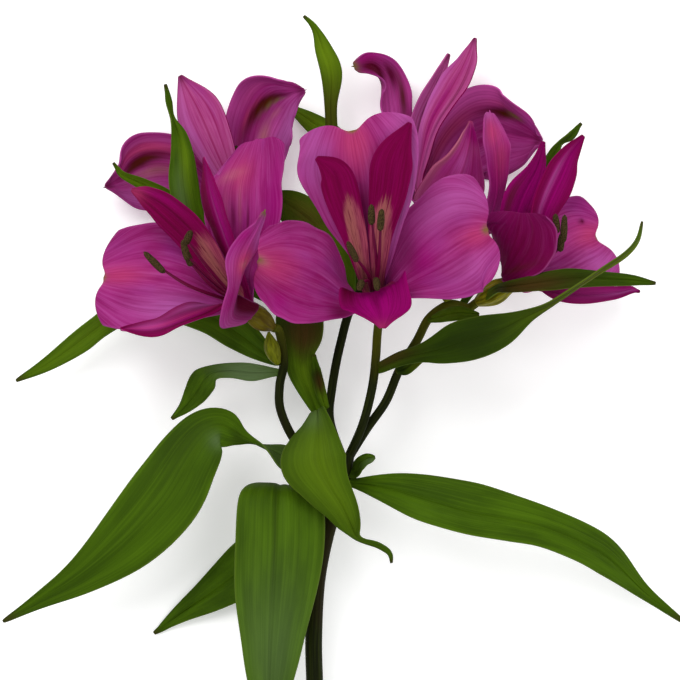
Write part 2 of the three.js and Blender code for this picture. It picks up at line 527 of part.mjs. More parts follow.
// The stem and the flower stalks are one growth, flattened where the cut end rests on the table.
const mainStem = stalk(STEM.map((point) => [...point, STEM_RADIUS]), { sides: 10, steps: 20 });
const TABLE_BLOCK = { width: 60, length: 600, depth: 40 };
const underTable = new THREE.BoxGeometry(TABLE_BLOCK.width, TABLE_BLOCK.length, TABLE_BLOCK.depth);
underTable.applyQuaternion(new THREE.Quaternion().setFromUnitVectors(new THREE.Vector3(0, 0, 1), tableUp));
const tableMiddle = tableUp.clone().multiplyScalar(-tableLift - TABLE_BLOCK.depth / 2);
underTable.translate(tableMiddle.x, tableMiddle.y, tableMiddle.z);
const wholeStem = [mainStem, ...BLOOMS.map(rayTo)].map(solidOf).reduce((all, next) => all.add(next));
addPart('stem', geometryOf(wholeStem.subtract(solidOf(underTable))), 'stem');

BLOOMS.forEach(addBloom);
LEAVES.forEach(({ name, ...shape }) => {
  const form = blade(shape);
  form.computeVertexNormals();
  addPart(name, form, name.startsWith('leaf') ? 'leaf' : 'bract');
});
BUDS.forEach(({ name, points }) => addPart(name, stalk(points, { sides: 8, steps: 6 }), 'bud'));

// Lay the plant down, with the middle of its outline at the origin.
plant.rotation.x = lean;
plant.position.z = tableLift;
const part = new THREE.Group();
part.add(plant);
part.updateMatrixWorld(true);
const extent = new THREE.Box3().setFromObject(part, true);
plant.position.x = -(extent.min.x + extent.max.x) / 2;
plant.position.y = -(extent.min.y + extent.max.y) / 2;

export default part;
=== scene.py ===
import math

import bmesh
import bpy
from mathutils import Matrix, Vector


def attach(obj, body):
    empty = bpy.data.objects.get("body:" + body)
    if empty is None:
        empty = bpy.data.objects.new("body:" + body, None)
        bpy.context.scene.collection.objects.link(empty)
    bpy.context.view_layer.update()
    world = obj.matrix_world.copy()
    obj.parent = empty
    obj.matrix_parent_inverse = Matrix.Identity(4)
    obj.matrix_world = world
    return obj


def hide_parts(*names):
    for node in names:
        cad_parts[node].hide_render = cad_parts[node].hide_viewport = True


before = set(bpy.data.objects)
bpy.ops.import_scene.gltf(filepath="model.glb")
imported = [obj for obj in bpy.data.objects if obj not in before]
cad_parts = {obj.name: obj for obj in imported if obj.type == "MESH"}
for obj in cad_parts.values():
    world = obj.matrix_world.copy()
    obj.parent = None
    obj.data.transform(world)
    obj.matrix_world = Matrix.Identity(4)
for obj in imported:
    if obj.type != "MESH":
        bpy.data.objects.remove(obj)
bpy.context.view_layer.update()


# The stem and its flower stalks: one soft round growth, dark green with long pale streaks,
# cut square at the foot. Everything else grows from it, so the way it lies comes first.
MM = 0.001
LEAN = math.radians(3.6)  # the stem slopes down to its cut end
UMBEL = Vector((0.2125, 66.0179, 17.8232))  # where the flower stalks leave the stem, in mm like all sizes
STEM_RADIUS = 2.3
CUT_END = -252
RAY_RADIUS = 1.2
OVARY_LENGTH = 9
OVARY_SEAT = 0.1  # from the end of a flower stalk to its ovary
RAY_NECK = 3  # the last stretch of a flower stalk, straight into its ovary
LEAST_RADIUS = 0.02
SAME_PLACE = 1e-7  # in metres
# hub is where a bloom's tepals meet, and axis the way that it faces.
BLOOMS = {
    "front": {"hub": (7.6, 40.5, 12), "axis": (-0.1, 0.35, 0.93)},
    "left": {"hub": (-25.5, 38.5, 8), "axis": (-0.62, 0.45, 0.64)},
    "upper_left": {"hub": (-27, 60, -14), "axis": (-0.1, 0.97, 0.2)},
    "upper_right": {"hub": (21, 66, -10), "axis": (0.33, 0.93, -0.14)},
    "right": {"hub": (42.6, 45.2, 5), "axis": (0.8, 0.45, 0.38)},
}
for bloom in BLOOMS.values():
    bloom["hub"] = Vector(bloom["hub"])
    bloom["axis"] = Vector(bloom["axis"]).normalized()
# The flower stalk of each bloom, from the top of the stem to just under the bloom.
RAYS = {
    "left": [(-1, -3, 0), (-8, -1.5, 3), (-13.7, 3.8, 5), (-17.6, 12, 5), (-17.9, 18.7, 4), (-16.8, 25, 2.5)],
    "upper_left": [(-0.5, -2, -0.5), (-4.8, 8, -5), (-7, 17, -8), (-9.5, 27, -10), (-15, 37, -12.5),
                   (-21.2, 44, -14.6)],
    "upper_right": [(-0.5, -2, -0.5), (-4.3, 9, -3), (-3.8, 18, -5), (-1.5, 30, -7), (2, 41, -8), (10, 51, -8)],
    "front": [(0, -2, 0), (4.4, 8, 3), (7, 18, 4), (8, 26, 1.6), (8.4, 32, -0.6)],
    "right": [(0, -2, 0), (5.6, 7, 0), (10.8, 14.5, 1), (14.4, 23, 2), (19.2, 31, 3), (22.5, 37, 3),
              (28, 40.6, 2)],
}
# How far along its flower stalk the young green end starts.
GREENS_FROM = {"front": 0.35, "left": 0.68, "upper_left": 0.75, "upper_right": 0.8, "right": 0.34}
STEM = [(0, 0.5, 0), (-0.6, -4, 0), (-2.6, -12, 0), (-5.6, -22, 0), (-7.9, -34, 0), (-8.7, -48, 0),
        (-8.5, -61, 0), (-7, -96, 0), (-4.4, -140, 0), (-2.2, -190, 0), (-1, CUT_END, 0)]

lay_down = Matrix.Translation(UMBEL) @ Matrix.Rotation(LEAN, 4, "X")


def laid(point, clearance=0.0):
    """A point of the growing plant in mm, as it lies on the table in metres, at least clearance above it."""
    place = lay_down @ Vector(point)
    place.z = max(place.z, clearance)
    return place * MM


def spline(points, u):
    """A smooth curve through the points, at u from 0 to 1. A point may hold any number of values."""
    place = min(max(u, 0.0), 1.0) * (len(points) - 1)
    index = min(int(place), len(points) - 2)
    t = place - index
    b, c = points[index], points[index + 1]
    a = points[index - 1] if index else [2 * p - q for p, q in zip(b, c)]
    d = points[index + 2] if index + 2 < len(points) else [2 * q - p for p, q in zip(b, c)]
    return [0.5 * (2 * q + (r - p) * t + (2 * p - 5 * q + 4 * r - s) * t ** 2
                   + (3 * q - p - 3 * r + s) * t ** 3) for p, q, r, s in zip(a, b, c, d)]


def heading(points, u, step=0.001):
    """The unit direction of a spline at u, taken ahead in its first half and back in its second."""
    ahead, behind = (u + step, u) if u < 0.5 else (u, u - step)
    return (Vector(spline(points, ahead)[:3]) - Vector(spline(points, behind)[:3])).normalized()


def tube(bm, points, sides, steps, shape=None, cap=0):
    """A closed round tube through points (x, y, z, radius). shape(u, angle) scales its radius, and
    cap is the material of its two ends."""
    along_layer = bm.verts.layers.float["along"]
    across_layer = bm.verts.layers.float["across"]
    normal = Vector((0.31, 0.2, 0.93))  # a direction that no tube here starts in
    rings = []
    for step in range(steps + 1):
        along = heading(points, step / steps)
        normal = (normal - along * normal.dot(along)).normalized()
        rings.append((spline(points, step / steps), normal.copy(), along.cross(normal)))
    verts = bmesh.ops.create_grid(bm, x_segments=sides, y_segments=steps, size=1)["verts"]
    for vert in verts:
        u = (vert.co.y + 1) / 2
        angle = math.pi * (vert.co.x + 1)
        (x, y, z, radius), up, side = rings[round(u * steps)]
        reach = max(radius, LEAST_RADIUS) * (shape(u, angle) if shape else 1)
        vert[along_layer] = u
        vert[across_layer] = angle / (2 * math.pi)
        vert.co = laid(Vector((x, y, z)) + side * reach * math.cos(angle) + up * reach * math.sin(angle))
    bmesh.ops.remove_doubles(bm, verts=verts, dist=SAME_PLACE)
    rims = [edge for edge in bm.edges if edge.is_boundary]
    for lid in bmesh.ops.holes_fill(bm, edges=rims, sides=0)["faces"]:
        lid.material_index = cap


def new_bmesh(layers):
    """An empty mesh whose vertices carry the named values."""
    bm = bmesh.new()
    for name in layers:
        bm.verts.layers.float.new(name)
    return bm


def finish_piece(bm, name, nodes, materials, outward=True):
    """Makes the piece that stands for the nodes, in its place, with its finishes."""
    if outward:
        bmesh.ops.recalc_face_normals(bm, faces=bm.faces)
    mesh = bpy.data.meshes.new(name)
    bm.to_mesh(mesh)
    bm.free()
    for polygon in mesh.polygons:
        polygon.use_smooth = True
    piece = bpy.data.objects.new(name, mesh)
    bpy.context.scene.collection.objects.link(piece)
    for material in materials:
        mesh.materials.append(material)
    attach(piece, "root")
    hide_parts(*nodes)
    return piece


def shade(red, green, blue):
    """A colour from its display values of 0 to 255."""
    parts = [value / 255 for value in (red, green, blue)]
    return (*(((part + 0.055) / 1.055) ** 2.4 if part > 0.04045 else part / 12.92 for part in parts), 1)


class Wire:
    """An output of a shader node, which can stand in a sum."""

    def __init__(self, finish, socket):
        self.finish = finish
        self.socket = socket

    def maths(self, operation, other=None, swap=False):
        """A Math node on this wire, and on another one or a number."""
        pair = (other, self) if swap else (self, other)
        values = {index: value for index, value in enumerate(pair) if value is not None}
        return self.finish.node("ShaderNodeMath", {"operation": operation}, values)

    def __add__(self, other):
        return self.maths("ADD", other)

    def __sub__(self, other):
        return self.maths("SUBTRACT", other)

    def __rsub__(self, other):
        return self.maths("SUBTRACT", other, swap=True)

    def __mul__(self, other):
        return self.maths("MULTIPLY", other)

    def __abs__(self):
        return self.maths("ABSOLUTE")

    __radd__ = __add__
    __rmul__ = __mul__

    def between(self, low, high):
        """0 below low and 1 above high, with a soft step between them."""
        settings = {"interpolation_type": "SMOOTHSTEP"}
        return self.finish.node("ShaderNodeMapRange", settings, {0: self, 1: low, 2: high, 3: 0.0, 4: 1.0})


class Finish:
    """A material, built from expressions on its wires."""

    def __init__(self, name, **constants):
        self.material = bpy.data.materials.new(name)
        self.material.use_nodes = True
        self.nodes = self.material.node_tree.nodes
        self.links = self.material.node_tree.links
        self.shader = self.nodes["Principled BSDF"]
        for socket, value in constants.items():
            self.shader.inputs[socket.replace("_", " ")].default_value = value

    def node(self, kind, settings, values, output=0):
        """A node with its settings first, and then the values or wires of its sockets."""
        node = self.nodes.new(kind)
        for key, value in settings.items():
            setattr(node, key, value)
        for key, value in values.items():
            self.join(value, node.inputs[key])
        return Wire(self, node.outputs[output])

    def join(self, value, socket):
        if isinstance(value, Wire):
            self.links.new(value.socket, socket)
        else:
            socket.default_value = value

    def read(self, name):
        """A value that the mesh carries on its vertices."""
        return self.node("ShaderNodeAttribute", {"attribute_name": name}, {}, 2)

    def vector(self, x, y, z):
        return self.node("ShaderNodeCombineXYZ", {}, {0: x, 1: y, 2: z})

    def noise(self, vector, scale, detail=2.0, roughness=0.5):
        values = {"Vector": vector, "Scale": scale, "Detail": detail, "Roughness": roughness}
        return self.node("ShaderNodeTexNoise", {}, values)

    def place(self):
        return self.node("ShaderNodeTexCoord", {}, {}, 3)

    def mix(self, factor, first, second):
        settings = {"data_type": "RGBA", "clamp_factor": True}
        return self.node("ShaderNodeMix", settings, {0: factor, 6: first, 7: second}, 2)

    def spots(self, color, streaks, kinds):
        """Lays the spots that the mesh carries over a colour: how streaked each kind is, and its tint."""
        for kind, (streaked, *tint) in kinds.items():
            strength = self.read(kind) * (1 - streaked / 2 + streaks * streaked)
            color = self.mix(strength, color, shade(*tint))
        return color

    def done(self, color, roughness, height=None, depth=0.1):
        """Joins what varies over the surface to the shader. height is raised by depth mm."""
        self.join(color, self.shader.inputs["Base Color"])
        self.join(roughness, self.shader.inputs["Roughness"])
        if height is not None:
            bump = self.node("ShaderNodeBump", {}, {"Height": height, "Strength": 1.0, "Distance": depth * MM})
            self.join(bump, self.shader.inputs["Normal"])
        return self.material


def stem_skin(name, dark, light, red):
    """Stem skin: streaks along the stem, reddish patches and young green ends."""
    skin = Finish(name, Specular_IOR_Level=0.05)
    along = skin.read("along")
    across = skin.read("across")
    streaks = skin.noise(skin.vector(across * 9, along * 2, 0), 3, 3)
    fleck = skin.noise(skin.place(), 900, 2)
    color = skin.mix(streaks.between(0.35, 0.7) * 0.7, dark, light)
    color = skin.mix(skin.noise(skin.place(), 35, 1).between(0.52, 0.7) * 0.6, color, red)
    color = skin.mix(skin.read("young") * (0.45 + streaks * 0.5), color, shade(84, 86, 14))
    return skin.done(color, 0.5 + fleck * 0.2, streaks + fleck * 0.25, 0.15)


stem_green = stem_skin("stem_skin", shade(15, 19, 2), shade(36, 43, 6), shade(34, 26, 5))
pith = Finish("stem_pith")
pith_grain = pith.noise(pith.place(), 1500, 3)
stem_pith = pith.done(pith.mix(pith_grain, shade(150, 165, 95), shade(205, 212, 160)), 0.7, pith_grain)

stem = new_bmesh(["along", "across", "young"])
young = stem.verts.layers.float["young"]
tube(stem, [(*point, STEM_RADIUS) for point in STEM], sides=24, steps=120,
     shape=lambda u, angle: 1 + 0.02 * math.sin(5 * angle), cap=1)  # five faint ridges
for name, bloom in BLOOMS.items():
    end = bloom["hub"] - bloom["axis"] * (OVARY_LENGTH + OVARY_SEAT)
    points = RAYS[name] + [end - bloom["axis"] * RAY_NECK, end]
    older = set(stem.verts)
    tube(stem, [(*point, RAY_RADIUS) for point in points], sides=16, steps=60,
         shape=lambda u, angle: 1 + 0.04 * math.sin(3 * angle))  # three faint ridges
    for vert in set(stem.verts) - older:
        past = vert[stem.verts.layers.float["along"]] - GREENS_FROM[name]
        vert[young] = min(1, max(0, 4 * past))
finish_piece(stem, "stem_and_stalks", ["stem"], [stem_green, stem_pith])


# The ovary under each bloom: a ribbed yellow-green cup on the end of the flower stalk, with the
# short neck on top that the tepals and the stamens grow out of.
OVARY_PROFILE = [(-OVARY_LENGTH, 1.3), (-6.5, 2.4), (-4, 3), (-1.5, 2.9), (0.3, 2.5), (2, 2.2), (3.6, 1.6),
                 (4.9, 0.9)]  # heights over the hub and radii


def ovary_ribs(u, angle):
    """Six soft ribs, gone at the foot and from the neck up."""
    return 1 + 0.1 * math.cos(6 * angle) * math.sin(math.pi * min(u / 0.72, 1))


ovary_skin = Finish("ovary_skin", Specular_IOR_Level=0.06)
ovary_along = ovary_skin.read("along")
rib_shade = ovary_skin.noise(ovary_skin.vector(ovary_skin.read("across") * 12, ovary_along * 2, 0), 2, 3)
ovary_color = ovary_skin.mix(rib_shade.between(0.35, 0.7), shade(92, 90, 4), shade(146, 142, 20))
ovary_color = ovary_skin.mix(ovary_skin.read("flush"), ovary_color, shade(70, 46, 16))
ovary_color = ovary_skin.mix(ovary_along.between(0.66, 0.8), ovary_color, shade(120, 70, 60))
ovary_material = ovary_skin.done(ovary_color, 0.4, rib_shade, 0.2)

for name, bloom in BLOOMS.items():
    ovary = new_bmesh(["along", "across", "flush"])
    profile = [(*(bloom["hub"] + bloom["axis"] * height), radius) for height, radius in OVARY_PROFILE]
    tube(ovary, profile, sides=36, steps=28, shape=ovary_ribs)
    for vert in ovary.verts:
        vert[ovary.verts.layers.float["flush"]] = 0.7 if name == "left" else 0.1  # the left one is browner
    finish_piece(ovary, f"ovary_of_{name}_bloom", [f"ovary_{name}"], [ovary_material])


# The leaves of the whorl: long thin straps with parallel veins, narrowed to a stalk at the foot
# and turned over there, so that the greyer underside shows. Each grows from the top of the stem.
LEAF_THICKNESS = 0.6
ROWS = 48
LEAST_HALF_WIDTH = 0.4
OFF_TABLE = 0.4  # from the middle of a blade to the table top
MIDRIB, POINT, NOTCH = 0.09, 0.06, 0.2  # half widths, as parts of a blade's own
CORNER_FROM = 0.4  # where its corners start, likewise
# Kinds of colour spot that a blade carries: the palest is painted light, and the two darkest are partly painted
# shade.
KINDS = ("blush", "dark_and_shade", "green", "lilac", "painted_light", "grey", "cream", "brown_and_shade", "magenta")
BLADE_LAYERS = ("along", "across", "edge", "seed", "bare", *KINDS)
STALKS = [STEM, *(RAYS[name] + [bloom["hub"] - bloom["axis"] * OVARY_LENGTH] for name, bloom in BLOOMS.items())]


def from_stalk(rib, steps=200, sunk=0.3):
    """The stations of a leaf, after one that roots it in the nearest stalk: sunk of the way from the
    stalk's middle to the leaf's foot."""
    foot = Vector(rib[0][:3])
    nearest = min((Vector(spline(stalk, step / steps)) for stalk in STALKS for step in range(steps + 1)),
                  key=lambda point: (point - foot).length)
    return [(*nearest.lerp(foot, sunk), rib[0][3]), *rib]


def hump(place, width):
    """A soft hump, 1 in its middle."""
    return math.exp(-(place / width) ** 2)


def blade(bm, rib, face, columns=16, rooted=False, crown=(0, 0), skew=0.0, notch=0.0, corner=(0, 0),
          lean=0.0, ruffle=(0, 1, 0), flutter=0.0, wander=0.0, furrow=0.0, mucro=0.0, fan=0.0, bare=None,
          marks=None, seed=0.0, turned=False):
    """A thin blade along the stations of its midrib: x, y, z, half width, twist and roll in degrees.

    At the tip crown raises the lobes and drops the corners, skew tilts them, notch cuts in between them,
    mucro stands in the notch and corner cuts back each corner. lean makes one half wider than the other.
    ruffle is the height, waves and phase of the edge, flutter its fine waves, wander those of its outline
    and furrow the depth of the midrib. fan draws the veins together at the tip, and bare is where the
    pigment starts: along the midrib, sooner at the margins, and where it is latest. marks are soft spots of
    each kind of colour, some of them painted light and some partly painted shade: along, across, their two
    sizes, strength and slant. turned shows the underside on top.
    """
    layer = {name: bm.verts.layers.float[name] for name in BLADE_LAYERS}
    spots = [(layer[kind], *spot) for kind, group in (marks or {}).items() for spot in group]
    rib = [tuple(station) + (0,) * (6 - len(station)) for station in rib]
    normal = Vector(face)
    rows = []
    for row in range(ROWS + 1):
        u = row / ROWS
        along = heading(rib, u)
        if rooted and u <= 1 / (len(rib) - 1):
            normal = Vector(face)
        normal = (normal - along * normal.dot(along)).normalized()
        x, y, z, half, twist, roll = spline(rib, u)
        up = Matrix.Rotation(math.radians(twist), 3, along) @ normal
        bend = math.radians(roll if abs(roll) >= 1 else 1)
        rows.append((Vector((x, y, z)), along, up, along.cross(up), max(half, LEAST_HALF_WIDTH), bend))
    verts = bmesh.ops.create_grid(bm, x_segments=columns, y_segments=ROWS, size=1)["verts"]
    for vert in verts:
        u = (vert.co.y + 1) / 2
        v = vert.co.x * abs(vert.co.x) ** 0.15  # the columns stand a little closer at the midrib
        middle, along, up, side, half, bend = rows[round(u * ROWS)]
        edge = abs(v)
        other = v > 0
        rise = min(1, 3 * u)  # the waves start at the foot
        # the outline, and then the height of the edge and of the midrib
        half *= 1 + lean * v + wander * edge ** 3 * rise * (
            math.sin(9 * u + 4.7 * seed + 2 * other) + 0.5 * math.sin(23 * u + 3.1 * seed + 4 * other))
        wave = ruffle[0] * v * v * rise * math.sin(2 * math.pi * ruffle[1] * u + ruffle[2] + 1.3 * other)
        wave += flutter * edge ** 4 * rise * math.sin(17 * u + 2.1 * seed + 2.4 * other)
        wave += flutter * 0.5 * edge ** 5 * rise * math.sin(41 * u + 5.3 * seed + 1.1 * other)
        wave -= furrow * hump(v, MIDRIB) * min(1, 4 * u) * min(1, 6 * (1 - u))
        # the tip
        reach = crown[0] * (1 - (1 - edge) ** 2.5) - crown[1] * edge ** 2.5 + skew * v
        cut = max(0, edge - CORNER_FROM) ** 2 / (1 - CORNER_FROM) ** 2
        reach = reach * u ** 4 - corner[other] * cut * u ** 6
        reach += mucro * hump(v, POINT) * u ** 40 - notch * hump(v, NOTCH) * u ** 16
        place = middle + side * (half * math.sin(v * bend) / bend) + along * reach
        place += up * (half * (1 - math.cos(v * bend)) / bend + wave)
        vert.co = laid(place, OFF_TABLE)
        vert[layer["along"]] = u
        vert[layer["across"]] = v / (1 - fan * u ** 6)
        vert[layer["edge"]] = edge
        vert[layer["seed"]] = seed
        vert[layer["bare"]] = bare[0] - bare[1] * (v - bare[2]) ** 2 - u if bare else -1
        for tint, at_u, at_v, size_u, size_v, strength, *slant in spots:
            off = v - at_v - (slant[0] if slant else 0) * (u - at_u)
            spot = strength * math.exp(-((u - at_u) / size_u) ** 2 - (off / size_v) ** 2)
            vert[tint] = max(vert[tint], spot)
    if turned:
        for patch in {patch for vert in verts for patch in vert.link_faces}:
            patch.material_index = 1


def finish_sheet(bm, name, node, skins, thickness):
    """Makes a piece of thin blades, thickened to both sides of their middle and rounded at their edges."""
    piece = finish_piece(bm, name, [node], skins, outward=False)
    wall = piece.modifiers.new("wall", "SOLIDIFY")
    wall.thickness = thickness * MM
    wall.offset = 0
    wall.material_offset = 1
    smooth = piece.modifiers.new("smooth", "SUBSURF")
    smooth.levels = 1
    smooth.render_levels = 1


def leaf_skin(name, dark, mid, light, rough):
    """Leaf skin: parallel veins that follow the blade, with slow changes of green between them, and dark spots
    that are partly painted shade.
    """
    skin = Finish(name, Specular_IOR_Level=0.06)
    along, across, seed = skin.read("along"), skin.read("across"), skin.read("seed")
    slow = skin.noise(skin.vector(across * 1.2, along * 4, seed * 3.7), 1.5, 3)
    streaks = skin.noise(skin.vector(across * 8, along * 1.6, seed * 5.1), 1.6, 3, 0.6)
    veins = skin.noise(skin.vector(across * 40, along * 1.2, seed * 2.3), 1.0, 1)
    fold = 1 - abs(across).between(0.0, 0.08)
    rim = skin.read("edge").between(0.93, 1.0)
    color = skin.mix(slow.between(0.3, 0.7), dark, mid)
    color = skin.mix(streaks.between(0.45, 0.75) * 0.3, color, light)
    color = skin.mix(veins.between(0.5, 0.7) * 0.4, color, dark)
    color = skin.mix(fold * 0.15, color, dark)
    # The darkest green here is partly the blade's own and partly painted shade where a blade curls or turns from
    # the lamps; the brown is the blade's own.
    color = skin.spots(color, streaks, {"dark_and_shade": (0, 22, 34, 0), "green": (0.6, 106, 134, 14),
                                        "brown_and_shade": (0.8, 64, 42, 12), "grey": (0.6, 84, 106, 64)})
    color = skin.mix(rim * 0.2, color, shade(112, 132, 38))
    color = skin.mix(along.between(0.955, 0.995) * 0.8, color, shade(58, 52, 18))
    return skin.done(color, rough + streaks * 0.15, 1 - veins * 0.7 + streaks * 0.5 - fold * 0.5, 0.2)


leaf_face = leaf_skin("leaf_face", shade(46, 70, 0), shade(63, 92, 2), shade(86, 118, 16), 0.5)
leaf_back = leaf_skin("leaf_back", shade(60, 84, 30), shade(76, 100, 42), shade(98, 122, 62), 0.6)
# Their darkest spots are partly painted shade where a blade curls or turns from the lamps.
LEAVES = {
    "leaf_left": {
        "rib": [(-3.5, -6, 1.2, 1.1), (-8.5, -5.2, 1.4, 1.7), (-13.5, -2.4, 2, 3.3), (-18, 0.2, 3.2, 3.6, 20),
                (-24, 3.3, 5, 1.1, 90), (-28, 4.8, 6, 2.3, 155, 8), (-31, 6.2, 6.7, 4.7, 172, 10),
                (-34.4, 7.3, 7.5, 6.1, 180, 12), (-38.6, 4.9, 8.3, 7.5, 180, 12), (-43, -1.2, 9, 9, 180, 12),
                (-48.8, -11, 9, 10.3, 180, 10), (-59, -22.5, 7, 8.8, 180, 8), (-71.5, -32.7, 3, 5, 180, 8),
                (-83, -39.5, -1, 2.2, 180), (-93, -45.3, -4, 0.4, 180)],
        "face": (0, 0.4, 1), "turned": True,
        "marks": {"grey": [(0.565, 0.45, 0.035, 0.35, 0.6)],
                  "dark_and_shade": [(0.17, 0, 0.1, 2, 0.5), (0.42, 0.3, 0.05, 0.8, 0.5), (0.62, -0.3, 0.1, 0.5, 0.45)]}},
    "leaf_bottom": {
        "rib": [(-4.6, -8.5, -0.5, 1.2), (-9.5, -9, -3, 1.2), (-14.4, -9.2, -4.4, 1.2), (-17.2, -8.8, -1.8, 2),
                (-17.8, -8, 3.5, 8.2, 0, -16), (-17.8, -12, 8.5, 11.6, 0, -12), (-18, -24, 10.5, 12.2, 0, -8),
                (-18.8, -37, 10, 11.3, 0, -8), (-19.6, -49, 8.5, 9, 0, -8), (-20.3, -62, 6.5, 6, 0, -8),
                (-21, -79, 4, 0.4)],
        "face": (0, 1, 0),
        "marks": {"dark_and_shade": [(0.44, 0, 0.06, 2, 0.5), (0.6, 0.12, 0.2, 0.05, 0.7), (0.62, -0.4, 0.2, 0.04, 0.5)],
                  "grey": [(0.85, 0, 0.15, 1, 0.4)]}},
    "leaf_back": {
        "rib": [(-5.2, -10.8, -2.3, 1.5), (-10, -16, -6, 4.5), (-18, -23.5, -9, 7, 0, 10),
                (-27, -31, -11, 7.2, 0, 10), (-36, -37.5, -12.5, 5.2), (-45, -43.5, -13.5, 2.6),
                (-52.3, -49, -14.5, 0.4)]},
    "leaf_front": {
        "rib": [(-1.8, 0.5, 3, 1.2), (-4.5, 5.5, 3.5, 1.5), (-7.3, 11, 5.5, 1.8), (-7.6, 12, 9.5, 2.3, -10),
                (-7.6, 8, 13, 4.8, -25), (-7.8, 3.5, 15, 7.6, -28), (-7.6, -1.6, 16, 9.4, -28),
                (-4.9, -7.4, 15.5, 7, -25), (-1.2, -13.3, 14.5, 5.2, -20), (1.4, -18.6, 13, 3.5, -10),
                (3.4, -22.2, 12.5, 1), (8.6, -23.9, 13.5, 0.9), (11.6, -25.8, 14.3, 0.8), (12.3, -28.7, 15, 0.4)],
        "face": (0, 0, -1), "lean": 0.1,
        "marks": {"dark_and_shade": [(0.5, 0, 0.6, 2, 0.35), (0.6, -0.2, 0.1, 0.6, 0.2), (0.05, 0, 0.12, 2, 1)],
                  "green": [(0.55, 0, 0.25, 0.8, 0.35)], "grey": [(0.32, 0.3, 0.05, 0.6, 0.5)]}},
    "leaf_right": {
        "rib": [(2.2, -7.6, 0.5, 1.4), (7, -8.2, 3, 2.9), (14, -9.5, 6, 4.9), (23, -12, 9, 6.8, 0, 8),
                (33, -14.8, 10, 7.5, 0, 10), (43, -16.7, 9, 6.8, 0, 10), (53, -19, 7, 5.9, 0, 8),
                (63, -23.1, 4, 5.7), (71.5, -28.3, 0, 5), (81, -37.5, -5, 2), (92.5, -46, -10, 0.4)],
        "face": (0, 0.3, 1), "wander": 0.06},
    "leaf_small": {
        "rib": [(2.4, -4.8, 1.4, 1.5), (3.5, -2.7, 2.4, 1.9), (5.2, -1.3, 3.2, 1.7), (6.8, -0.8, 3.4, 1.3),
                (7.9, -0.6, 3.4, 0.4)],
        "face": (0, 0.3, 1), "flutter": 0, "furrow": 0.2,
        "marks": {"dark_and_shade": [(0.3, 0, 0.4, 2, 0.6)], "grey": [(0.8, 0.6, 0.3, 0.5, 0.6)]}},
}
for seed, (name, leaf) in enumerate(LEAVES.items(), 1):
    leaf = {"face": (0, 0, 1), "seed": seed, "flutter": 0.35, "wander": 0.03, "furrow": 0.5, **leaf}
    sheet = new_bmesh(BLADE_LAYERS)
    blade(sheet, from_stalk(leaf.pop("rib")), rooted=True, **leaf)
    finish_sheet(sheet, f"{name}_blade", name, [leaf_face, leaf_back, leaf_face], LEAF_THICKNESS)
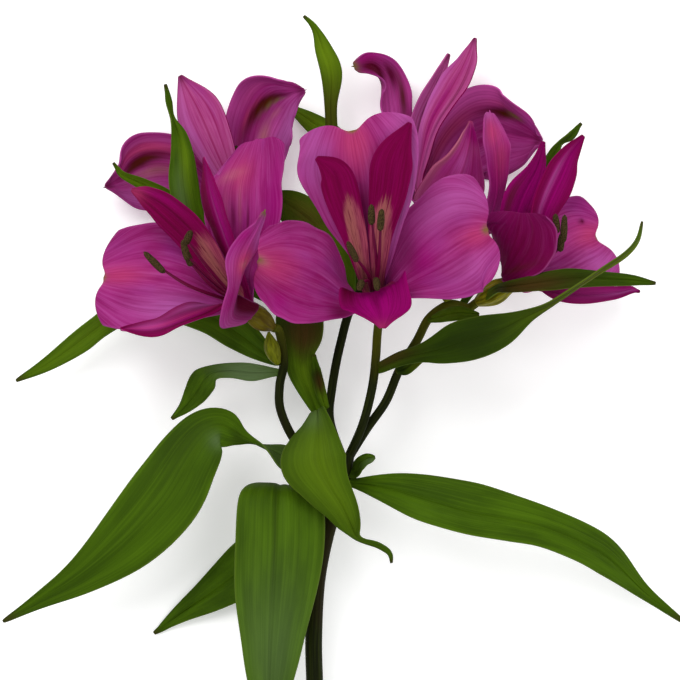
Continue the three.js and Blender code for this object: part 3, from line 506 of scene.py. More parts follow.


# The bracts: small narrow leaves of the same skin as the whorl's. Each grows from a flower stalk by a
# thin foot, and two of them have a tiny second bract beside them.
# Their darkest spots are partly painted shade where a bract curls or turns from the lamps.
BRACTS = {
    "bract_far_left": {
        "rib": [(-19, 25.2, 1.4, 1.2), (-24, 29, -2, 3.5), (-30, 33.5, -5, 5), (-38, 38, -8, 5),
                (-50, 41, -10, 4.5), (-60, 39, -9.8, 3.8), (-67, 34.6, -9.3, 3.2), (-72.5, 30.3, -9, 3.2),
                (-81, 24.5, -9, 2), (-89.7, 19.8, -10, 0.4)],
        "marks": {"green": [(0.8, 0, 0.25, 1, 0.3)]}},
    "bract_curled": {
        "rib": [(-19.1, 22.3, 3.6, 1.2), (-25, 22.3, 3.4, 2.5), (-31, 22.8, 3.4, 2.2), (-35.6, 22.3, 4.2, 2.2),
                (-38.2, 20.2, 5.4, 3.7), (-40.6, 16.3, 7, 3.2), (-43.3, 12.9, 8.2, 1.8), (-46.9, 9.8, 9, 0.4)],
        "face": (0, 0.3, 1),
        "marks": {"grey": [(0.28, 0, 0.2, 2, 1.1)], "dark_and_shade": [(0.75, 0, 0.1, 2, 0.3)]}},
    "bract_top": {
        "rib": [(3.4, 44, -9.9, 1), (-0.6, 56, -13.5, 1.4), (-3.2, 72, -12.5, 1.5), (-3.8, 86, -11.5, 1.7),
                (-4.1, 95, -10.5, 1.8), (-3.9, 103.5, -9.5, 3), (-6.1, 110, -9, 2.4), (-8.3, 115.5, -8.5, 1),
                (-11.5, 119, -8, 0.4)],
        "marks": {"green": [(0.75, 0, 0.15, 1, 0.75)], "brown_and_shade": [(0.52, 0, 0.12, 2, 0.6)]}},
    "bract_centre": {
        "rib": [(1.4, 41.6, -5.9, 1), (0, 47.5, -4.6, 2.8), (-3, 54.5, -4, 4.4), (-9, 62.5, -4.5, 5.2),
                (-15.5, 67.5, -5.5, 4.5), (-22, 71, -7.5, 0.4)],
        "marks": {"brown_and_shade": [(0.72, 0.1, 0.16, 0.8, 0.7)],
                  "green": [(0.55, 0, 0.2, 0.6, 0.4), (0.74, 0.3, 0.1, 0.4, 0.5)]}},
    "bract_upper": {
        "rib": [(13.4, 53.7, -10.1, 1), (9.6, 66, -16.6, 2.5), (3.5, 78, -19, 3.6), (-3.5, 86, -20, 3.6),
                (-10, 91, -20, 2.6), (-16.5, 95.5, -24, 0.4)],
        "marks": {"green": [(0.8, 0, 0.25, 1, 0.5)]}},
    "bract_long": {
        "rib": [(9.4, 23.6, 3.5, 1.6), (14.6, 26, 8.3, 2), (20, 27.4, 12.5, 2.5), (25, 28.6, 16, 4.2),
                (30, 30.4, 19, 5.6), (36, 32, 21.3, 5.6), (42, 34, 23, 4.4), (48, 37.3, 24.5, 2.1, 20),
                (54, 40.3, 25.5, 1.2, 50), (61, 45, 26, 1.2, 60), (68, 49.5, 26, 1.2, 60),
                (74, 53.5, 25.5, 1.2, 60), (77.5, 57.5, 25, 1, 60), (78.8, 62.7, 24, 0.4, 60)],
        "beside": [(14, 22.8, 3.6, 1), (16, 23.4, 5.5, 1.9), (19.5, 26.2, 8.5, 1.7), (23, 28.5, 11, 0.5)],
        "marks": {"dark_and_shade": [(0.4, 0, 0.28, 2, 0.85)],
                  "brown_and_shade": [(0.12, -0.6, 0.08, 1, 0.7), (0.75, 0, 0.15, 2, 0.5)],
                  "green": [(0.85, 0.4, 0.2, 0.8, 0.8)]}},
    "bract_right": {
        "rib": [(40.6, 44.8, 9.5, 1.2), (43.3, 45.2, 14, 1.6), (49, 46, 17, 2.2), (55, 46.9, 18, 2.8),
                (61, 47.5, 18.3, 2.7), (69, 47.3, 18, 2.1), (76, 47, 17, 1.6), (82.9, 46.2, 16, 0.4)],
        "face": (0, 0.3, 1),
        "marks": {"dark_and_shade": [(0.55, 0, 0.35, 2, 0.7)], "brown_and_shade": [(0.35, 0.3, 0.25, 1.2, 0.9)],
                  "green": [(0.04, 0, 0.06, 2, 0.5)]}},
    "bract_upper_left": {
        "rib": [(-17, 39.9, -11.4, 1), (-24, 44.5, -9.6, 2.2), (-32, 50, -8, 3.2), (-38.5, 57.5, -7, 3.6),
                (-42.3, 65, -6, 3.9), (-44, 74, -5, 4.1), (-44.3, 81, -4, 3.2), (-45.2, 86.5, -4, 2.2),
                (-47, 91.3, -4, 0.8, 40), (-47.9, 95.5, -3.5, 1, 20), (-48.8, 100.3, -3, 0.3)],
        "marks": {"grey": [(0.5, -0.3, 0.1, 0.4, 0.5)], "green": [(0.62, 0.2, 0.12, 0.4, 0.5)]}},
    "bract_side": {
        "rib": [(-19.5, 42.4, -16, 1), (-25, 45.5, -18.8, 1.6), (-33, 52, -17, 2.2), (-40.5, 61, -14.5, 2.4),
                (-47.5, 68.7, -11, 2.4), (-55, 73.2, -7.5, 1.7), (-60.5, 75.8, -5, 0.9), (-63, 79, -4, 0.3)],
        "marks": {"green": [(0.75, 0, 0.25, 1, 0.3)]}},
    "bract_rear": {
        "rib": [(-7, 10.5, -3.2, 1.2), (-9.7, 16, -3, 2.4), (-12.2, 22.5, -3, 3.6), (-12.6, 27, -3.4, 4.2),
                (-12.4, 32, -4, 6.2), (-12.6, 38, -5, 6.4), (-12.5, 46, -6.5, 4), (-11.5, 53, -8, 0.5)],
        "beside": [(-5.4, 12.8, -2.6, 1), (-6.8, 17, -1.4, 1.5), (-7.9, 22, -1.4, 1.4), (-8.6, 27, -2, 0.4)],
        "marks": {"dark_and_shade": [(0.68, 0, 0.14, 2, 0.9)], "brown_and_shade": [(0.62, 0.2, 0.14, 0.8, 0.8)],
                  "green": [(0.35, 0.2, 0.14, 0.8, 0.4)]}},
    "bract_right_tip": {
        "rib": [(31.6, 40.9, -1.1, 1), (41.4, 55.5, -7, 2), (50, 70, -8, 2.2), (55.8, 80.5, -7, 1.6),
                (58, 84.3, -6, 1, 40), (61, 86.3, -5, 1.3, 20), (63.8, 89.8, -5, 0.3)],
        "marks": {"dark_and_shade": [(0.8, 0, 0.1, 2, 0.3)]}},
    "bract_pedicel": {
        "rib": [(23.2, 36.6, 4.8, 1), (26.5, 37.6, 8, 2), (31, 38.2, 10, 2), (35.8, 37.8, 10.5, 0.5)],
        "face": (0, 0.3, 1),
        "marks": {"green": [(0.5, 0, 0.5, 1, 0.4)]}},
}
for seed, (name, bract) in enumerate(BRACTS.items(), 11):
    bract = {"face": (0, 0, 1), "seed": seed, "beside": None, **bract}
    sheet = new_bmesh(BLADE_LAYERS)
    for rib in filter(None, (bract.pop("rib"), bract.pop("beside"))):
        blade(sheet, from_stalk(rib), columns=10, rooted=True, flutter=0.2, furrow=0.35, **bract)
    finish_sheet(sheet, f"{name}_blade", name, [leaf_face, leaf_back], LEAF_THICKNESS)


# Two unopened buds: plump yellow-green spindles with three blunt ridges, where the folded tepals
# meet. Each grows from the side of a flower stalk, among the bracts.
BUDS = {
    "bud_left": [(-18.3, 24.6, 3.9, 0.8), (-19.2, 26.6, 4.6, 1.8), (-20.2, 29.6, 5.4, 2), (-20.8, 33.2, 5.8, 0.3)],
    "bud_right": [(26.4, 41.6, 3, 0.6), (27.8, 43, 3.6, 1.3), (29.6, 44.6, 4, 1.4), (31.6, 46.2, 4.4, 0.2)],
}
bud_skin = Finish("bud_skin", Specular_IOR_Level=0.06)
bud_streaks = bud_skin.noise(bud_skin.vector(bud_skin.read("across") * 9, bud_skin.read("along") * 2, 0), 2, 3)
bud_color = bud_skin.mix(bud_streaks.between(0.2, 0.8), shade(70, 72, 4), shade(112, 118, 16))
bud_material = bud_skin.done(bud_color, 0.42, bud_streaks, 0.15)
for name, points in BUDS.items():
    bud = new_bmesh(["along", "across"])
    tube(bud, points, sides=24, steps=24, shape=lambda u, angle: 1 + 0.06 * math.cos(3 * angle))
    finish_piece(bud, f"{name}_spindle", [name], [bud_material])


# The outer tepals: three broad thin petals to a bloom, purple-magenta, with fine veins that fan
# out from the claw and a green point in the notch at the tip. They grow from the ovary's neck.
TEPAL_THICKNESS = 0.55
CLAW_HALF_WIDTH = 1.9
OUTER_CLAW = {"start": 1.2, "rise": 2.3, "reach": 3.9}


def from_hub(bloom, stations, start, rise, reach):
    """A tepal's rib: start above the hub, through the claw that far up and out, and on to its stations."""
    hub, axis = bloom["hub"], bloom["axis"]
    outward = Vector(stations[0][:3]) - hub
    outward = (outward - axis * outward.dot(axis)).normalized()
    claw = hub + axis * rise + outward * reach
    return [(*(hub + axis * start), CLAW_HALF_WIDTH), (*claw, CLAW_HALF_WIDTH), *stations]


def tepal_skin(name, deep, mid, light, vein, contrast, grooves=0.0, bluish=0.35):
    """Tepal skin: pigment in fine lines along the petal, with soft flushes of other colours, and spots of painted
    light and partly painted shade.
    """
    skin = Finish(name, Specular_IOR_Level=0.03)
    along, across, seed = skin.read("along"), skin.read("across"), skin.read("seed")
    slow = skin.noise(skin.vector(across * 1.4, along * 2.4, seed * 3.1), 1.6, 3)
    violet = skin.noise(skin.vector(across * 1.1, along * 3, seed * 7.9), 1.3, 2)
    streaks = skin.noise(skin.vector(across * 6, along * 2, seed * 4.3), 1.6, 4, 0.65)
    veins = skin.noise(skin.vector(across * 27, along * 2.2, seed * 2.7), 1.0, 3, 0.6)
    lines = veins.between(0.44, 0.66)
    color = skin.mix(slow.between(0.3, 0.7), deep, mid)
    color = skin.mix(streaks.between(0.4, 0.75) * 0.5, color, light)
    color = skin.mix(violet.between(0.5, 0.7) * bluish, color, shade(136, 46, 128))
    # The palest of these tints is painted light: it brightens spots where light falls on the petal.
    color = skin.spots(color, streaks, {"magenta": (0.5, 140, 2, 100), "lilac": (0.5, 172, 84, 156),
                                        "painted_light": (0.5, 206, 84, 170), "blush": (0.7, 176, 56, 102),
                                        "cream": (0.8, 180, 108, 116)})
    color = skin.mix(lines * contrast, color, vein)
    color = skin.mix((1 - veins).between(0.5, 0.7) * contrast * 0.5, color, light)
    if grooves:
        side_groove = 1 - abs(abs(across) - 0.42).between(0.0, 0.07)
        groove = (1 - abs(across).between(0.0, 0.08)) + side_groove * 0.8
        color = skin.mix(groove * grooves, color, vein)
    # The two darkest tints are partly the petal's own dark streaks and partly painted shade in hollows and folds
    # and on sides turned from the lamps.
    color = skin.spots(color, streaks, {"dark_and_shade": (0.5, 74, 0, 30), "brown_and_shade": (0.5, 72, 22, 10)})
    bare = (skin.read("bare") + (streaks - 0.5) * 0.2 + (veins - 0.5) * 0.12).between(0.0, 0.05)
    flecks = skin.noise(skin.vector(across * 11, along * 7, seed), 1.6, 2).between(0.55, 0.64)
    foot = skin.mix(streaks.between(0.4, 0.65), shade(150, 66, 86), shade(116, 26, 66))
    foot = skin.mix((1 - abs(across).between(0.1, 0.7)) * 0.7, foot, shade(148, 88, 80))
    foot = skin.mix(flecks * 0.8, foot, shade(96, 14, 46))
    color = skin.mix(bare, color, foot)
    color = skin.mix(skin.read("edge").between(0.93, 1.0) * 0.3, color, light)
    color = skin.mix(skin.read("green"), color, shade(98, 96, 12))
    return skin.done(color, 0.6 + streaks * 0.12, streaks * 1.2 - veins * 0.5, 0.2)


outer_face = tepal_skin("outer_tepal_face", shade(128, 16, 88), shade(150, 40, 114), shade(174, 78, 150),
                        shade(116, 2, 74), 0.32)
outer_back = tepal_skin("outer_tepal_back", shade(140, 36, 110), shade(160, 60, 132), shade(182, 94, 158),
                        shade(122, 8, 74), 0.4, grooves=0.3)
# Their darkest spots are partly painted shade in hollows, folds and on sides turned from the lamps, and the palest
# are painted light.
OUTER_TEPALS = {
    "front": [
        {"rib": [(7, 52, 19, 5), (5, 64, 22.5, 11.5), (3.3, 77, 25, 16.9, 0, 12), (1.6, 87.3, 26.5, 16.1, 0, 8)],
         "crown": (3.6, 3.2), "skew": 1.4, "notch": 1.9, "lean": 0.04, "corner": (0, 1),
         "marks": {"blush": [(0.92, 0, 0.16, 0.3, 0.9)],
                   "lilac": [(0.75, 0.85, 0.35, 0.25, 1), (0.9, -0.7, 0.25, 0.3, 0.6)],
                   "painted_light": [(0.9, 0.7, 0.12, 0.25, 0.3)], "green": [(1, 0, 0.012, 0.09, 0.9)],
                   "dark_and_shade": [(0.6, 0, 0.12, 0.5, 0.5)]}},
        {"rib": [(-0.5, 42.5, 18.5, 7), (-8, 46.5, 22.5, 15.2), (-16, 49.6, 24.5, 15.8),
                 (-22.8, 51.5, 25.5, 12.3)],
         "crown": (2.2, 2.4), "notch": 0.2, "lean": 0.06, "skew": 0.6,
         "marks": {"blush": [(0.92, 0, 0.2, 0.4, 0.9)], "cream": [(0.99, 0.05, 0.06, 0.12, 0.8)],
                   "green": [(1, 0.05, 0.03, 0.08, 0.8)],
                   "dark_and_shade": [(0.45, 0.6, 0.12, 0.3, 0.5), (0.42, -0.7, 0.07, 0.4, 0.6), (0.72, 0, 0.3, 2, 0.12),
                            (0.82, 0.95, 0.2, 0.35, 0.3), (0.92, -0.45, 0.2, 0.25, 0.35),
                            (0.7, -0.6, 0.15, 0.3, 0.18)],
                   "magenta": [(0.8, -0.65, 0.08, 0.3, 0.8), (0.72, -0.8, 0.25, 0.3, 0.4)]}},
        {"rib": [(13.5, 46, 17.5, 5.5, 0, 20), (22.5, 52.6, 21, 14.2, 0, 18), (30.8, 58.2, 23.5, 16.9),
                 (37.8, 60.4, 25, 14.6)],
         "crown": (2.6, 2.4), "notch": 1.2, "corner": (0.6, 2.4), "lean": -0.03,
         "marks": {"blush": [(0.9, 0.05, 0.14, 0.22, 0.8)], "green": [(0.99, 0, 0.03, 0.08, 0.9)],
                   "dark_and_shade": [(0.52, -0.35, 0.07, 0.5, 0.45, -3), (0.42, 0, 0.06, 2, 0.2), (0.7, 0, 0.3, 2, 0.1)],
                   "magenta": [(0.58, -0.3, 0.1, 0.6, 1, -3)],
                   "lilac": [(0.8, 0.6, 0.2, 0.3, 0.5), (0.8, -0.6, 0.25, 0.35, 0.6)]}},
    ],
    "left": [
        {"rib": [(-34, 42, 8, 5), (-44, 46, 8, 12.5), (-55, 47.6, 5, 15.8), (-65.8, 47.8, 0, 13.4)],
         "crown": (2, 3.6), "notch": 1.5,
         "marks": {"blush": [(0.92, 0.05, 0.15, 0.2, 0.8)], "green": [(1, 0, 0.015, 0.08, 0.8)],
                   "dark_and_shade": [(0.5, 0.2, 0.1, 0.3, 0.5), (0.82, 0.75, 0.2, 0.3, 0.25)],
                   "lilac": [(0.6, -0.55, 0.2, 0.3, 0.9)]}},
        {"rib": [(-28, 49, 8.5, 5), (-27, 61, 6, 10.4, 15, 10), (-26.8, 73, 4, 11.3, 20, 14),
                 (-24.1, 84.8, 2, 8.2, 20)],
         "corner": (8, 2.5), "mucro": 0.8, "skew": 3.2,
         "marks": {"blush": [(0.84, -0.2, 0.1, 0.4, 0.7)],
                   "magenta": [(0.7, 0.8, 0.25, 0.3, 0.8), (0.55, -0.1, 0.12, 0.7, 0.6)],
                   "cream": [(0.84, -0.4, 0.03, 0.25, 0.45, 5), (0.7, -0.16, 0.1, 0.04, 0.4),
                             (0.7, -0.46, 0.1, 0.04, 0.5)],
                   "dark_and_shade": [(0.64, -0.3, 0.09, 0.04, 0.7, -0.4), (0.64, 0.06, 0.1, 0.03, 0.75, -0.3),
                            (0.66, -0.6, 0.09, 0.04, 0.7, -0.5), (0.5, 0, 0.08, 1, 0.6)]}},
        {"rib": [(-26.5, 37, 16, 4.5, 0, 20), (-30.3, 38, 25, 5.5, 27, 30), (-28.6, 46, 31, 6, 30, 30),
                 (-26.9, 53.5, 34, 6.6, 14, 30), (-23.6, 60.5, 35, 3.4, 10, 25), (-21.7, 64.6, 35.3, 1.4, 10)],
         "lean": -0.14,
         "marks": {"blush": [(0.67, -0.1, 0.07, 0.6, 1.2)], "painted_light": [(0.67, -0.25, 0.03, 0.3, 0.7)],
                   "lilac": [(0.86, -0.6, 0.08, 0.4, 0.8)],
                   "magenta": [(0.8, 0.7, 0.08, 0.5, 0.9), (0.52, 0.5, 0.07, 0.6, 0.9)],
                   "dark_and_shade": [(0.36, -0.8, 0.2, 0.85, 1.2)], "cream": [(0.665, -0.1, 0.02, 0.25, 0.8)],
                   "green": [(1, 0, 0.035, 0.8, 0.9)]}},
    ],
    "upper_left": [
        {"rib": [(-25, 69, -18.5, 5), (-24.2, 80, -20, 9.4, 0, 25), (-22.2, 89, -19, 11.5, 0, 32),
                 (-18.6, 95.5, -14, 11.5, 0, 42), (-14.8, 97.7, -9, 5.8, 0, 35), (-11.3, 98.6, -5.5, 1.2, 0, 20)],
         "lean": -0.02, "wander": 0.01,
         "marks": {"dark_and_shade": [(0.65, -0.3, 0.14, 0.1, 1.2, 1.3), (0.97, 0, 0.05, 1, 0.5)],
                   "brown_and_shade": [(0.67, -0.24, 0.1, 0.07, 1.3, 1.3)], "green": [(0.7, -0.1, 0.08, 0.04, 0.8, 1.3)],
                   "cream": [(0.53, 0.05, 0.07, 0.14, 0.7), (0.66, 0.1, 0.05, 0.06, 0.5, 1)],
                   "painted_light": [(0.6, 0.25, 0.08, 0.15, 0.6), (0.68, -0.68, 0.1, 0.16, 0.5),
                            (0.62, -0.95, 0.2, 0.26, 0.5)],
                   "blush": [(0.6, -0.45, 0.1, 0.07, 1, 1.1), (0.67, -0.66, 0.08, 0.14, 0.3)],
                   "lilac": [(0.68, 0.7, 0.3, 0.4, 1)],
                   "magenta": [(0.6, -0.58, 0.1, 0.06, 0.6, 0.8), (0.68, -0.5, 0.1, 0.12, 0.8)]}},
        {"rib": [(-33, 66.5, -17, 5, -20), (-41, 72.3, -21.5, 9.5, -45, 20), (-48.5, 75.6, -23, 12.6, -45, 30),
                 (-55, 75, -21.5, 14, -45, 40), (-60.6, 72.8, -17, 8.2, -45, 40),
                 (-65.3, 72.6, -12, 1.2, -30, 20)],
         "ruffle": (0.8, 3, 1), "lean": -0.05,
         "marks": {"dark_and_shade": [(0.7, 0.4, 0.15, 0.12, 1.2, -0.6), (0.98, 0, 0.05, 1, 0.7)],
                   "brown_and_shade": [(0.72, 0.36, 0.1, 0.08, 1.2, -0.6), (0.62, 0.16, 0.1, 0.12, 0.45, -0.6)],
                   "blush": [(0.66, 0.62, 0.16, 0.12, 0.9)], "cream": [(0.66, 0.12, 0.12, 0.1, 0.6, -0.4)],
                   "lilac": [(0.72, -0.5, 0.25, 0.4, 0.8)]}},
        {"rib": [(-26, 67.5, -8.5, 4.5), (-24.5, 75, -5, 7), (-23, 81, -3.5, 6.5), (-21.5, 85, -3, 4)],
         "crown": (0.5, 2),
         "marks": {"blush": [(0.8, 0, 0.2, 0.3, 0.5)]}},
    ],
    "upper_right": [
        {"rib": [(17, 76, -14, 4.5), (13, 87, -16.5, 6.5, -20, 40), (12, 95, -17, 6.4, -30, 50),
                 (10.8, 101.8, -15.5, 6.4, -20, 50), (7.2, 105.6, -11, 4.4, 0, 40), (2.3, 105.3, -8, 1.8)],
         "crown": (0.5, 0.5),
         "marks": {"brown_and_shade": [(0.6, 0.65, 0.12, 0.14, 1)],
                   "dark_and_shade": [(0.72, 0.4, 0.08, 0.25, 1, 0.8), (0.84, -0.2, 0.14, 0.6, 1.3)],
                   "magenta": [(0.88, 0.6, 0.08, 0.6, 0.9)], "painted_light": [(0.54, 0.1, 0.2, 0.8, 0.55)],
                   "green": [(1, 0, 0.03, 1, 0.8)]}},
        {"rib": [(25, 76, -15, 6, 20), (31, 84.4, -20, 11.5, 35, 25), (37.6, 88.8, -22.6, 13.4, 40, 30),
                 (44, 87.6, -21, 14, 45, 40), (49.8, 86, -17, 9, 45, 40), (53.4, 85, -13.5, 1.2, 30, 20)],
         "ruffle": (0.8, 3, 0), "lean": -0.06,
         "marks": {"blush": [(0.4, -0.45, 0.16, 0.2, 0.8), (0.66, -0.6, 0.1, 0.05, 0.4, -0.3)],
                   "painted_light": [(0.4, -0.45, 0.2, 0.26, 0.4), (0.32, -0.1, 0.12, 0.4, 0.6),
                            (0.62, -0.64, 0.12, 0.12, 0.8), (0.5, -0.72, 0.2, 0.2, 0.8),
                            (0.54, -0.95, 0.24, 0.36, 1.3), (0.8, 0.5, 0.12, 0.4, 0.35)],
                   "magenta": [(0.42, -0.45, 0.2, 0.2, 0.8, -0.2)], "brown_and_shade": [(0.7, -0.42, 0.08, 0.1, 1.2, -0.6)],
                   "dark_and_shade": [(0.66, -0.4, 0.1, 0.1, 0.9, -0.4), (0.75, 1, 0.14, 0.12, 0.8),
                            (0.95, 0, 0.04, 1, 0.5)], "green": [(0.78, -0.5, 0.05, 0.06, 0.7, -0.8)]}},
        {"rib": [(36.5, 61, -3, 3.5), (40.3, 68.5, -0.5, 3), (40.6, 78, 1.2, 3.7, 0, -25),
                 (39.8, 85.5, 1.5, 4.7, 0, -40), (38.9, 92.3, -1.5, 2)],
         "crown": (0.5, 0.5),
         "marks": {"blush": [(0.86, 0.1, 0.1, 0.7, 0.9), (0.72, -0.3, 0.12, 0.6, 0.7)],
                   "magenta": [(0.6, 0, 0.2, 2, 1)], "dark_and_shade": [(0.66, 0, 0.14, 2, 0.2)],
                   "lilac": [(0.98, 0.3, 0.04, 0.5, 0.8)]}},
    ],
    "right": [
        {"rib": [(42.8, 50, 10.2, 6.4, 10, 20), (44.8, 55.5, 13.5, 12.2, 30, 20), (46.6, 60.5, 14.5, 12.2, 35, 20),
                 (47, 65, 14.5, 9.4, 35)],
         "lean": 0.1, "corner": (0, 0), "mucro": 0,
         "marks": {"dark_and_shade": [(0.55, -0.3, 0.9, 1.5, 0.82)], "magenta": [(0.6, 0, 0.9, 4, 1)],
                   "brown_and_shade": [(0.48, -0.42, 0.14, 0.13, 0.5, -2.4)]}},
        {"rib": [(50, 49.5, 3, 5), (57.5, 53.8, 2, 10.5), (63, 57.3, 0.5, 13.2), (68, 58.6, -1.5, 12)],
         "crown": (4, 2.2), "skew": 2, "notch": 1.5, "lean": 0.05,
         "marks": {"blush": [(0.9, -0.1, 0.16, 0.3, 0.8)], "green": [(1, 0, 0.012, 0.08, 0.8)],
                   "dark_and_shade": [(0.85, -0.42, 0.018, 0.05, 1.2), (0.42, 0.8, 0.12, 0.35, 0.9)],
                   "lilac": [(0.85, 0.6, 0.2, 0.4, 0.7)], "painted_light": [(0.55, -0.4, 0.2, 0.4, 0.5)]}},
        {"rib": [(50, 48.3, 1, 4.5), (58, 49.5, -4, 6.5), (66, 49.8, -8, 6.2), (71.5, 49.5, -10, 4.2)],
         "crown": (1, 2),
         "marks": {"dark_and_shade": [(0.4, 0, 0.3, 2, 0.6)]}},
    ],
}


def make_tepals(circle, blooms, claw, face, back, first_seed, **habits):
    """Makes one circle of tepals, three to a bloom, with the habits that they share."""
    for number, (name, tepals) in enumerate(blooms.items()):
        sheet = new_bmesh(BLADE_LAYERS)
        for seed, tepal in enumerate(tepals, number * 3):
            rib = from_hub(BLOOMS[name], tepal.pop("rib"), **claw)
            blade(sheet, rib, BLOOMS[name]["axis"], seed=first_seed + seed, **{**habits, **tepal})
        finish_sheet(sheet, f"{circle}_tepals_of_{name}_bloom", f"{circle}_tepals_{name}",
                     [face, back, face], TEPAL_THICKNESS)


make_tepals("outer", OUTER_TEPALS, OUTER_CLAW, outer_face, outer_back, 0.5, columns=22, crown=(0.5, 1),
            corner=(1, 1), mucro=1.4, fan=0.5, wander=0.035, flutter=0.5, furrow=0.35)


